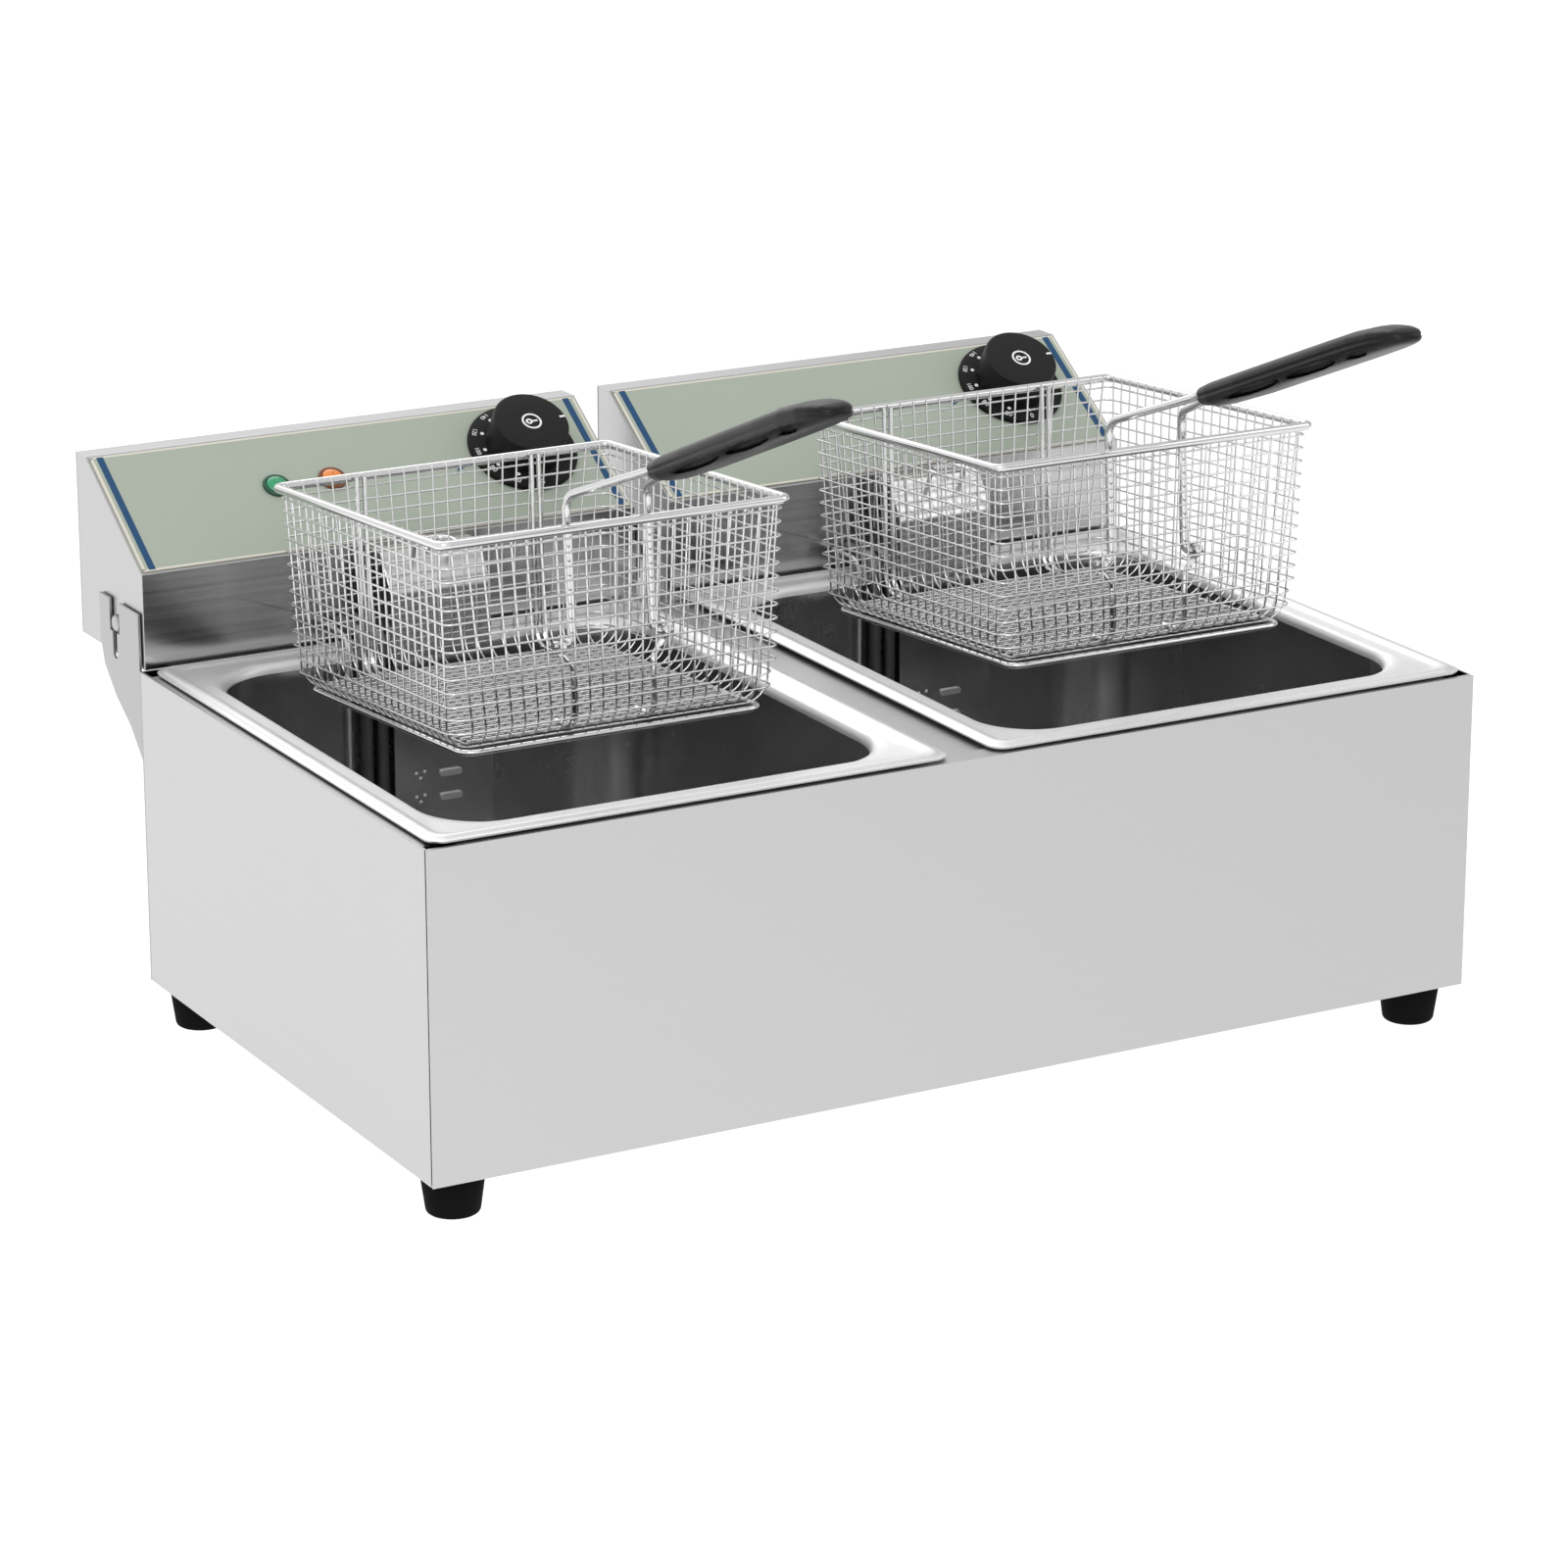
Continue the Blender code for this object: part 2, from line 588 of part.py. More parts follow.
def heating_element(side, parent):
    """One tube: down a leg, round the tank floor in a serpentine, and back up the other leg."""
    inside = HEAD_FRONT + 0.012
    left, right = ELEMENT_LEGS
    runs = [(left, 0.262), (-0.088, 0.262), (-0.088, 0.060), (0.090, 0.060), (0.090, 0.250), (0.058, 0.250),
            (0.058, 0.092), (0.026, 0.092), (0.026, 0.250), (-0.006, 0.250), (-0.006, 0.092), (right, 0.092)]
    corners = [(left, inside, ELEMENT_OUT), (left, ELEMENT_Y, ELEMENT_OUT), (left, ELEMENT_Y, ELEMENT_Z)]
    corners += [(x, y, ELEMENT_Z) for x, y in runs]
    corners += [(right, ELEMENT_Y, ELEMENT_Z), (right, ELEMENT_Y, ELEMENT_OUT), (right, inside, ELEMENT_OUT)]
    tube(f"heating_element_{side}", rounded_path(corners, 0.0075, 2), ELEMENT_RADIUS, DARK_STEEL, parent)


def thermostat_bulb(side, parent):
    """Sensor bulb over the element, on a thin capillary that rises into the head."""
    thin, thick = 0.001, 0.003
    y = ELEMENT_Y + 0.0006
    capillary = rounded_path([(BULB_X, HEAD_FRONT + 0.010, ELEMENT_OUT), (BULB_X, y, ELEMENT_OUT),
                              (BULB_X, y, BULB_Z), (BULB_X, 0.272, BULB_Z)], 0.008, 2)
    bulb = [(BULB_X, at, BULB_Z) for at in (0.270, 0.268, 0.192, 0.190)]
    swell = [1.0] * len(capillary) + [1.6, thick / thin, thick / thin, 1.8]
    tube(f"thermostat_bulb_{side}", capillary + bulb, thin, BRIGHT, parent, swell=swell)


def head_fittings(side, parent):
    box(f"terminal_block_{side}", (-0.030, 0.352, HEAD_BOTTOM + HEAD_SHEET + GAP),
        (0.030, 0.372, HEAD_BOTTOM + HEAD_SHEET + GAP + 0.018), CERAMIC, parent, bevel=0.001)
    x, z = GLAND_AT
    rim = [(0.0125, GAP), (0.0125, 0.006), (0.0110, 0.0068), (0.0085, 0.0130), (0.0070, 0.0150)]
    bore = [(0.0042, 0.0150), (0.0042, -0.0100), (0.0090, -0.0100), (0.0090, GAP)]
    turned(f"cable_gland_{side}", list(reversed(rim)) + list(reversed(bore)), BLACK, parent,
           facing_back(x, z), steps=14, ring=True)
    x, z = RESET_AT
    turned(f"reset_button_{side}", [(0, 0.0035), (0.0034, 0.0035), (0.0040, 0.0028), (0.0040, -0.006), (0, -0.006)],
           RED, parent, facing_back(x, z), steps=12)


def head(side, parent):
    head_case(side, parent)
    head_cover(side, parent)
    overlay(side, parent)
    lamp(side, "green", GREEN, parent)
    lamp(side, "amber", AMBER, parent)
    knob(side, parent)
    thermostat(side, parent)
    pins(side, parent)
    element_bracket(side, parent)
    heating_element(side, parent)
    thermostat_bulb(side, parent)
    head_fittings(side, parent)


# ------------------------------------------------------------------ basket
def basket_body(side, parent):
    """Closed tray with the true outer shape of the wire mesh, narrower at its floor."""
    top = -2 * RIM_WIRE - GAP
    mouth_width = BASKET_WIDTH - 0.006
    mouth_length = BASKET_LENGTH - 0.006
    steps = [(mouth_width, mouth_length, 0.004, top, 0.0),
             (BASKET_WIDTH - 2 * WALL_INSET, FLOOR_LENGTH + 0.004, 0.010, WALL_FOOT - BASKET_HEIGHT, FLOOR_SHIFT),
             (FLOOR_WIDTH + 0.004, FLOOR_LENGTH, 0.010, 0.0025 - BASKET_HEIGHT, FLOOR_SHIFT),
             (FLOOR_WIDTH, FLOOR_LENGTH - 0.004, 0.009, -BASKET_HEIGHT, FLOOR_SHIFT)]
    outer = [rounded_ring(w, l, r, z, y) for w, l, r, z, y in steps]
    wall = 2 * MESH_WALL
    inner = [rounded_ring(w - wall, l - wall, r - MESH_WALL, z + (MESH_WALL if i > 1 else 0.0), y)
             for i, (w, l, r, z, y) in enumerate(steps)]
    loft(f"basket_{side}", list(reversed(inner)) + outer, WIRE, parent)


def basket_rim(side, parent):
    ring = rounded_ring(BASKET_WIDTH - 2 * RIM_WIRE, BASKET_LENGTH - 2 * RIM_WIRE, 0.004, -RIM_WIRE)
    tube(f"basket_rim_{side}", ring, RIM_WIRE, WIRE, parent, closed=True)


def basket_hook(side, basket_x, parent):
    """Flat loop of wire behind the basket that lies on top of the element bracket."""
    z = BRACKET_TOP + GAP + HOOK_WIRE
    near, far, half = 0.2868, 0.308, 0.010
    path = rounded_path([(basket_x - half, near, z), (basket_x - half, far, z), (basket_x + half, far, z),
                         (basket_x + half, near, z)], 0.007, 4)
    tube(f"basket_hook_{side}", path, HOOK_WIRE, WIRE, parent)


def shank(distance, x=0.0, lift=0.0):
    """A point on the handle's sloping shank, in the hinge's frame."""
    return Vector((x, -distance * math.cos(HANDLE_RISE) - lift * math.sin(HANDLE_RISE),
                   HANDLE_BEND + distance * math.sin(HANDLE_RISE) - lift * math.cos(HANDLE_RISE)))


def handle_path(foot_reach=0.010):
    near, half = WIRE_PITCH, HANDLE_HALF
    end = GRIP_FROM + TANG
    one_side = [(-half - foot_reach, 0, 0), (-half, 0, 0), (-half, 0, HANDLE_BEND),
                shank(GRIP_FROM - 0.004, -near), shank(end, -near)]
    other_side = [(-Vector(p).x, Vector(p).y, Vector(p).z) for p in reversed(one_side)]
    bends = [0, 0.004, 0.009, 0.020, 0.0055]
    return rounded_path(one_side + other_side, bends + bends[::-1], 3)


def grip_ring(along, width, low, high, points=12):
    """Rounded section of the grip, square to the shank; low and high count from the wire's axis."""
    ring = []
    for k in range(points):
        angle = 2 * math.pi * k / points
        c, s = math.cos(angle), math.sin(angle)
        x = width / 2 * math.copysign(abs(c) ** 0.7, c)
        up = (low + high + (high - low) * math.copysign(abs(s) ** 0.7, s)) / 2
        ring.append(shank(GRIP_FROM + along, x, -up))
    return ring


def handle(side, basket):
    """Bent wire with hinged feet, and the grip that its closed end sits in."""
    axis = empty(f"handle_axis_{side}", basket, (0, HANDLE_Y, HANDLE_Z))
    tube(f"handle_wire_{side}", handle_path(), HANDLE_WIRE, WIRE, axis)
    reach = HANDLE_HALF - HANDLE_WIRE - GAP
    cylinder(f"handle_crossbar_{side}", CROSSBAR, -reach, reach, WIRE, axis, facing_side(0, 0, CROSSBAR_UP),
             segments=10)
    stations = [(0.000, 0.0192, -0.0045, 0.0038), (0.003, 0.0216, -0.0060, 0.0046),
                (0.012, 0.0245, -0.0074, 0.0050), (0.040, 0.0278, -0.0081, 0.0050),
                (0.115, 0.0282, -0.0081, 0.0052), (0.137, 0.0272, -0.0081, 0.0052),
                (0.152, 0.0246, -0.0081, 0.0038), (0.162, 0.0192, -0.0081, 0.0008),
                (GRIP_LENGTH, 0.0070, -0.0081, -0.0050)]
    rings = [grip_ring(*station) for station in stations]
    grip = loft(f"handle_grip_{side}", rings, BLACK, axis)
    sleeve = [shank(GRIP_FROM - 0.006, -WIRE_PITCH), shank(GRIP_FROM + TANG, -WIRE_PITCH),
              shank(GRIP_FROM + TANG, WIRE_PITCH), shank(GRIP_FROM - 0.006, WIRE_PITCH)]
    bore = tube(f"handle_bore_{side}", rounded_path(sleeve, 0.0055), HANDLE_WIRE + 0.0004, BLACK, axis)
    boolean(grip, bore)


def basket(side, parent):
    x = BASKET_X[side]
    frame = empty(f"basket_frame_{side}", parent, (x, BASKET_Y, BASKET_Z), (BASKET_TILT, 0, 0))
    basket_body(side, frame)
    basket_rim(side, frame)
    basket_hook(side, x, parent)
    handle(side, frame)


# ------------------------------------------------------------------ assembly
def main():
    fryer = empty("fryer_frame", None, (0, -ORIGIN_BACK, 0))
    housing(fryer)
    for side, x in (("left", -UNIT_X), ("right", UNIT_X)):
        unit = empty(f"unit_{side}", fryer, (x, 0, 0))
        tank(side, unit)
        head(side, unit)
        basket(side, unit)
    bpy.context.view_layer.update()


main()
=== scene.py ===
"""Looks of the countertop twin deep fryer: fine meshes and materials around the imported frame."""
import json
import math

import bmesh
import bpy
from mathutils import Matrix, Quaternion, Vector


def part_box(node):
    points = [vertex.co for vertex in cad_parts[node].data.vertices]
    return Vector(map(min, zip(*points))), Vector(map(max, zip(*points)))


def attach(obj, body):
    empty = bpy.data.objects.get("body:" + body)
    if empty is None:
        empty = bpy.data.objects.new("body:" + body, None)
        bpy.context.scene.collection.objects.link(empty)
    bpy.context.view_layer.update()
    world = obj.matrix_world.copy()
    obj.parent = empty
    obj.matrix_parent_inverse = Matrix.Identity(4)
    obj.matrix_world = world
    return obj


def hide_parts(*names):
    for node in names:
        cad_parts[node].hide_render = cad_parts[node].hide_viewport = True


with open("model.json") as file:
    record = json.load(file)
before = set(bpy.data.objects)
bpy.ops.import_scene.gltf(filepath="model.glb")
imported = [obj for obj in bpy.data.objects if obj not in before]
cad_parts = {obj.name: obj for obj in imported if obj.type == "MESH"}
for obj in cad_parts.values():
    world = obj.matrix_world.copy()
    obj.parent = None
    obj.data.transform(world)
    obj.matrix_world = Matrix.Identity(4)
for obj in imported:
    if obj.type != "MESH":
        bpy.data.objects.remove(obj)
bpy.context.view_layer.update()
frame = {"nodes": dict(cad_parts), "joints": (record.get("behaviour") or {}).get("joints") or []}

SIDES = ("left", "right")

# ------------------------------------------------------------------ sizes, in metres
UNIT_X = {side: (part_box(f"tank_{side}")[0].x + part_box(f"tank_{side}")[1].x) / 2 for side in SIDES}
RIM_WIDTH, RIM_BEAD = 0.018, 0.0086
TANK_SHEET = 0.001

ORIGIN_BACK = -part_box("front_panel")[0].y        # from the housing's front to the origin
HEAD_LOW, HEAD_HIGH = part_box("head_case_left")
SLOPE_FOOT = 0.2265
SLOPE_BASE = Vector((0, HEAD_LOW.y, SLOPE_FOOT))
SLOPE_RUN, SLOPE_RISE = 0.066, HEAD_HIGH.z - SLOPE_FOOT
SLOPE_LENGTH = math.hypot(SLOPE_RUN, SLOPE_RISE)
SLOPE_ANGLE = math.atan2(SLOPE_RISE, SLOPE_RUN)
KNOB_X, KNOB_UP = 0.090, 0.0465
LAMP_X, LAMP_UP = {"green": -0.046, "amber": -0.016}, 0.044
OVERLAY_FACE = 0.0007        # printed face above the slope

BASKET_TILT = math.radians(-4.1)
HANDLE_Y, HANDLE_Z = -0.0815, -0.0578
BASKET_WIDTH, BASKET_LENGTH, BASKET_HEIGHT = 0.184, 0.187, 0.104
FLOOR_WIDTH, FLOOR_LENGTH, FLOOR_SHIFT = 0.155, 0.174, 0.005
RIM_WIRE, MESH_WIRE = 0.0022, 0.0005        # radii
RINGS, RING_TOP, RING_PITCH = 14, -0.0068, 0.0066
UPRIGHTS, UPRIGHT_TOP, UPRIGHT_BEND = 23, -0.0006, 0.012
FLOOR_WIRE_HALF = 0.072

HANDLE_HALF = 0.021
HANDLE_WIRE = 0.0021         # radius
HANDLE_RISE = math.radians(17.9)
HANDLE_BEND = 0.0691         # above the hinge
GRIP_FROM, TANG = 0.062, 0.060
WIRE_PITCH = 0.0065          # from the middle to each wire inside the grip


# ------------------------------------------------------------------ mesh tools
class Shape:
    """Vertices and faces of one piece, gathered before they become a mesh."""

    def __init__(self):
        self.verts, self.faces, self.slots = [], [], []

    def add(self, verts, faces, slot=0):
        start = len(self.verts)
        self.verts.extend(verts)
        self.faces.extend(tuple(start + i for i in face) for face in faces)
        self.slots.extend([slot] * len(faces))

    def loft(self, rings, closed=False, caps=True, slot=0):
        """Skin through rings of equal counts; closed joins the last ring to the first."""
        count = len(rings[0])
        verts = [point for ring in rings for point in ring]
        spans = len(rings) if closed else len(rings) - 1
        faces = []
        for k in range(spans):
            a, b = k * count, (k + 1) % len(rings) * count
            for i in range(count):
                j = (i + 1) % count
                faces.append((a + i, a + j, b + j, b + i))
        if caps and not closed:
            faces.append(tuple(reversed(range(count))))
            faces.append(tuple((len(rings) - 1) * count + i for i in range(count)))
        self.add(verts, faces, slot)

    def tube(self, path, radius, sides=8, closed=False):
        """Round wire along a path, with no twist between its points."""
        path = [Vector(p) for p in path]
        count = len(path)
        tangents = []
        for i in range(count):
            before = path[i - 1] if i or closed else path[i]
            after = path[(i + 1) % count] if i < count - 1 or closed else path[i]
            tangents.append((after - before).normalized())
        side = tangents[0].orthogonal().normalized()
        rings = []
        for i, (point, tangent) in enumerate(zip(path, tangents)):
            if i:
                side = tangents[i - 1].rotation_difference(tangent) @ side
            up = tangent.cross(side)
            rings.append([point + (side * math.cos(a) + up * math.sin(a)) * radius
                          for a in (2 * math.pi * k / sides for k in range(sides))])
        self.loft(rings, closed, caps=not closed)

    def turned(self, profile, matrix=None, steps=64, slot=0, ring=False, caps=True):
        """Profile of (radius, height) turned about local Z; ring closes it off the axis."""
        matrix = matrix or Matrix.Identity(4)
        rings = []
        for radius, height in profile:
            radius = max(radius, 0.00001)
            rings.append([matrix @ Vector((radius * math.cos(a), radius * math.sin(a), height))
                          for a in (2 * math.pi * k / steps for k in range(steps))])
        self.loft(rings, closed=ring, caps=caps, slot=slot)

    def prism(self, outline, low, high, matrix=None):
        """Outline in local X and Y, from low to high along local Z."""
        matrix = matrix or Matrix.Identity(4)
        self.loft([[matrix @ Vector((p[0], p[1], z)) for p in outline] for z in (low, high)])

    def piece(self, name, body, materials, stands_for=(), angle=35, bevel=0.0):
        """Object that rides on a body; edges sharper than angle stay sharp."""
        mesh = bpy.data.meshes.new(name)
        mesh.from_pydata(self.verts, [], self.faces)
        for material in materials:
            mesh.materials.append(material)
        mesh.polygons.foreach_set("material_index", self.slots)
        obj = bpy.data.objects.new(name, mesh)
        bpy.context.scene.collection.objects.link(obj)
        face_outwards(mesh)
        mesh.shade_smooth()
        mesh.set_sharp_from_angle(angle=math.radians(angle))
        if bevel:
            round_edges(obj, bevel)
        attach(obj, body)
        if stands_for:
            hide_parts(*stands_for)
        return obj


def face_outwards(mesh):
    bm = bmesh.new()
    bm.from_mesh(mesh)
    bmesh.ops.recalc_face_normals(bm, faces=bm.faces)
    bm.to_mesh(mesh)
    bm.free()


def round_edges(obj, width):
    edge = obj.modifiers.new("edges", "BEVEL")
    edge.width = width
    edge.segments = 2
    edge.limit_method = "ANGLE"
    edge.angle_limit = math.radians(35)


def rounded_path(corners, radii, steps=8, closed=False):
    """Straight runs between corners, with an arc of the given radius at each inner corner."""
    corners = [Vector(corner).to_3d() for corner in corners]
    if not isinstance(radii, (list, tuple)):
        radii = [radii] * len(corners)
    path = []
    for i, corner in enumerate(corners):
        if radii[i] == 0 or (not closed and i in (0, len(corners) - 1)):
            path.append(corner)
            continue
        before = (corners[i - 1] - corner).normalized()
        after = (corners[(i + 1) % len(corners)] - corner).normalized()
        half = before.angle(after) / 2
        centre = corner + (before + after).normalized() * radii[i] / math.sin(half)
        start = corner + before * radii[i] / math.tan(half) - centre
        axis = before.cross(after)
        for k in range(steps + 1):
            path.append(centre + Quaternion(-axis, (math.pi - 2 * half) * k / steps) @ start)
    return path


def rounded_ring(width, length, radius, z, middle_y=0.0, steps=8):
    """Closed rectangle with round corners at a height."""
    x, y = width / 2, length / 2
    ring = rounded_path([(x, -y, z), (x, y, z), (-x, y, z), (-x, -y, z)], radius, steps, closed=True)
    return [Vector((p.x, p.y + middle_y, p.z)) for p in ring]


# ------------------------------------------------------------------ materials
def new_material(name):
    made = bpy.data.materials.new(name)
    made.use_nodes = True
    nodes = made.node_tree.nodes
    return made, nodes, made.node_tree.links, nodes["Principled BSDF"]


def mapped_noise(nodes, links, scale, stretch=(1, 1, 1), detail=4.0, roughness=0.55):
    """Noise over the object's own coordinates, stretched along an axis for grain."""
    coord = nodes.new("ShaderNodeTexCoord")
    mapping = nodes.new("ShaderNodeMapping")
    mapping.inputs["Scale"].default_value = stretch
    noise = nodes.new("ShaderNodeTexNoise")
    noise.inputs["Scale"].default_value = scale
    noise.inputs["Detail"].default_value = detail
    noise.inputs["Roughness"].default_value = roughness
    links.new(coord.outputs["Object"], mapping.inputs["Vector"])
    links.new(mapping.outputs["Vector"], noise.inputs["Vector"])
    return noise.outputs["Fac"]


def ramp(nodes, links, fac, low, high, start=0.3, end=0.7):
    """Maps a factor to a range of grey values or colours."""
    made = nodes.new("ShaderNodeValToRGB")
    made.color_ramp.elements[0].position = start
    made.color_ramp.elements[1].position = end
    as_colour = [v if isinstance(v, tuple) else grey(v) for v in (low, high)]
    for element, colour in zip(made.color_ramp.elements, as_colour):
        element.color = (*colour, 1.0)
    links.new(fac, made.inputs["Fac"])
    return made.outputs["Color"]


def bump(nodes, links, fac, shader, strength, distance):
    node = nodes.new("ShaderNodeBump")
    node.inputs["Strength"].default_value = strength
    node.inputs["Distance"].default_value = distance
    links.new(fac, node.inputs["Height"])
    links.new(node.outputs["Normal"], shader.inputs["Normal"])


def grey(value):
    return (value, value, value)


def scaled(colour, factor):
    return tuple(min(1.0, c * factor) for c in colour)


def steel(name, colour, rough, grain=None, streak=0.05, grain_scale=60.0, relief=0.06):
    """Steel sheet with fine streaks along an axis, or evenly satin when grain is None."""
    made, nodes, links, shader = new_material(name)
    stretch = {"x": (0.02, 12, 12), "y": (12, 0.02, 12), "z": (12, 12, 0.02), None: (1, 1, 1)}[grain]
    fine = mapped_noise(nodes, links, grain_scale, stretch, detail=8.0, roughness=0.7)
    broad = mapped_noise(nodes, links, 9.0, detail=3.0)
    mix = nodes.new("ShaderNodeMix")
    mix.inputs["Factor"].default_value = 0.25
    links.new(fine, mix.inputs["A"])
    links.new(broad, mix.inputs["B"])
    blended = mix.outputs["Result"]
    links.new(ramp(nodes, links, blended, scaled(colour, 1 - streak), scaled(colour, 1 + streak)),
              shader.inputs["Base Color"])
    links.new(ramp(nodes, links, blended, rough * 0.82, rough * 1.2), shader.inputs["Roughness"])
    bump(nodes, links, fine, shader, relief, 0.0002)
    shader.inputs["Metallic"].default_value = 1.0
    return made


def plastic(name, colour, rough, grain=900.0, relief=0.12, coat=0.0, mottle=0.15, gloss=0.5):
    """Moulded plastic or rubber with a fine spark-eroded texture."""
    made, nodes, links, shader = new_material(name)
    fine = mapped_noise(nodes, links, grain, detail=2.0)
    broad = mapped_noise(nodes, links, 30.0, detail=3.0)
    links.new(ramp(nodes, links, broad, scaled(colour, 1 - mottle), scaled(colour, 1 + mottle)),
              shader.inputs["Base Color"])
    links.new(ramp(nodes, links, broad, rough * 0.92, rough * 1.08), shader.inputs["Roughness"])
    bump(nodes, links, fine, shader, relief, 0.0002)
    shader.inputs["Coat Weight"].default_value = coat
    shader.inputs["Specular IOR Level"].default_value = gloss
    return made


def lens(name, colour):
    """Coloured indicator lens with fine moulded cells and a faint glow."""
    made, nodes, links, shader = new_material(name)
    coord = nodes.new("ShaderNodeTexCoord")
    cells = nodes.new("ShaderNodeTexVoronoi")
    cells.inputs["Scale"].default_value = 1100.0
    links.new(coord.outputs["Object"], cells.inputs["Vector"])
    tint = ramp(nodes, links, cells.outputs["Distance"], scaled(colour, 1.3), scaled(colour, 0.5), 0.1, 0.8)
    links.new(tint, shader.inputs["Base Color"])
    bump(nodes, links, cells.outputs["Distance"], shader, 0.4, 0.0004)
    shader.inputs["Roughness"].default_value = 0.16
    shader.inputs["Coat Weight"].default_value = 0.6
    shader.inputs["Emission Color"].default_value = (*colour, 1.0)
    shader.inputs["Emission Strength"].default_value = 0.10
    return made


MATERIALS = {
    "panel_x": steel("brushed_along_x", grey(0.53), 0.38, "x", streak=0.025),
    "panel_y": steel("brushed_along_y", grey(0.53), 0.38, "y", streak=0.025),
    "ear": steel("brushed_upright", grey(0.40), 0.32, "z", streak=0.03),
    "head": steel("head_sheet", grey(0.47), 0.30, "x", streak=0.03),
    "head_front": steel("head_front_sheet", grey(0.50), 0.20, "x", streak=0.14, grain_scale=30.0),
    "bright": steel("bright_bracket", grey(0.60), 0.18, streak=0.02, grain_scale=40.0, relief=0.002),
    "base": steel("plain_steel", grey(0.45), 0.42),
    "rim": steel("tank_rim", grey(0.80), 0.46, streak=0.02, grain_scale=300.0, relief=0.004),
    # the tank's inside is a darker copy of the rim's steel: its lower colour is painted shade inside the tank
    "tank": steel("tank_inside_painted_shade", grey(0.52), 0.25, streak=0.01, grain_scale=40.0, relief=0.002),
    "element": steel("element_tube", (0.24, 0.235, 0.23), 0.33, grain_scale=300.0),
    "wire": steel("plated_wire", grey(0.70), 0.10, streak=0.03, grain_scale=500.0, relief=0.02),
    "rubber": plastic("foot_rubber", grey(0.004), 0.75, gloss=0.06),
    "knob": plastic("knob_plastic", grey(0.006), 0.45, gloss=0.22),
    "skirt": plastic("dial_skirt", grey(0.006), 0.50, gloss=0.14),
    "grip": plastic("grip_plastic", grey(0.004), 0.34, grain=1400.0, relief=0.05, gloss=0.25),
    "print": plastic("overlay_print", (0.345, 0.388, 0.325), 0.50, relief=0.01, mottle=0.01, gloss=0.25),
    "cream": plastic("overlay_border", (0.62, 0.60, 0.52), 0.50, relief=0.01, mottle=0.01, gloss=0.25),
    "blue": plastic("overlay_blue", (0.012, 0.062, 0.150), 0.45, relief=0.01, mottle=0.03, gloss=0.25),
    "white": plastic("mark_white", grey(0.78), 0.5, relief=0.02, mottle=0.02),
    "ceramic": plastic("terminal_ceramic", (0.80, 0.78, 0.72), 0.55, grain=300.0),
    "red": plastic("reset_red", (0.50, 0.02, 0.015), 0.32, coat=0.3),
    "green": lens("green_lens", (0.002, 0.30, 0.120)),
    "amber": lens("amber_lens", (0.78, 0.210, 0.012)),
    "green_bezel": plastic("green_bezel", (0.003, 0.060, 0.030), 0.20, relief=0.01, coat=0.3),
    "amber_bezel": plastic("amber_bezel", (0.150, 0.035, 0.004), 0.20, relief=0.01, coat=0.3),
}


def dress(node, key, bevel=0.0):
    """Gives a carried-over CAD node its material and softly rounded edges."""
    obj = frame["nodes"][node]
    obj.data.materials.clear()
    obj.data.materials.append(MATERIALS[key])
    if bevel:
        weld = obj.modifiers.new("weld", "WELD")
        weld.merge_threshold = 0.00002
        round_edges(obj, bevel)


# ------------------------------------------------------------------ housing
def foot(name):
    """Tapered rubber foot with a recess in its bottom."""
    low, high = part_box(name)
    x, y = (low.x + high.x) / 2, (low.y + high.y) / 2
    top, height = (high.x - low.x) / 2, high.z
    profile = [(0, height), (top - 0.0004, height), (top, height - 0.0010), (0.0128, 0.0026),
               (0.0126, 0.0014), (0.0121, 0.0005), (0.0114, 0.0), (0.0050, 0.0), (0.0044, 0.0010),
               (0.0044, 0.0050), (0, 0.0050)]
    shape = Shape()
    shape.turned(profile, Matrix.Translation((x, y, 0)), 40)
    shape.piece(f"{name}_moulded", "housing", [MATERIALS["rubber"]], (name,), angle=30)


def side_panel(side):
    """Folded side sheet that stops a little behind the front panel, which leaves a dark joint."""
    low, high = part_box(f"side_panel_{side}")
    sign = -1 if side == "left" else 1
    face = low.x if sign < 0 else high.x
    sheet, flange = 0.0008, 0.016
    inner = face - sign * flange
    line = [(inner, high.z), (face, high.z), (face, low.z), (inner, low.z)]
    outline = [Vector(p) for p in line] + list(reversed(offset_line(line, -sign * sheet)))
    shape = Shape()
    shape.loft([[Vector((p.x, y, p.y)) for p in outline] for y in (low.y + 0.0012, high.y)])
    shape.piece(f"side_sheet_{side}", "housing", [MATERIALS["panel_y"]], (f"side_panel_{side}",),
                bevel=0.0003)


def housing():
    for node, key in (("front_panel", "panel_x"), ("back_panel", "panel_x"), ("deck_bar", "panel_y")):
        dress(node, key, 0.0003)
    for side in SIDES:
        side_panel(side)
    dress("base_plate", "base")
    for row in ("front", "back"):
        for side in SIDES:
            foot(f"foot_{row}_{side}")
    for node in ("ear_left_outer", "ear_left_inner", "ear_right_inner", "ear_right_outer"):
        dress(node, "ear", 0.0003)


# ------------------------------------------------------------------ tank
def tank_radius(inset):
    """Corner radius in plan: small round the bead, generous at the opening."""
    share = min(1.0, max(0.0, (inset - RIM_BEAD) / (RIM_WIDTH - RIM_BEAD)))
    return 0.008 + 0.028 * share - 0.6 * max(0.0, inset - RIM_WIDTH)


def offset_line(points, distance):
    """An open 2D line moved sideways by distance, with mitred corners."""
    points = [Vector(point) for point in points]
    sides = []
    for a, b in zip(points, points[1:]):
        along = (b - a).normalized()
        sides.append(Vector((-along.y, along.x)))
    moved = [points[0] + sides[0] * distance]
    for point, left, right in zip(points[1:], sides, sides[1:]):
        mitre = (left + right).normalized()
        moved.append(point + mitre * distance / mitre.dot(left))
    moved.append(points[-1] + sides[-1] * distance)
    return moved


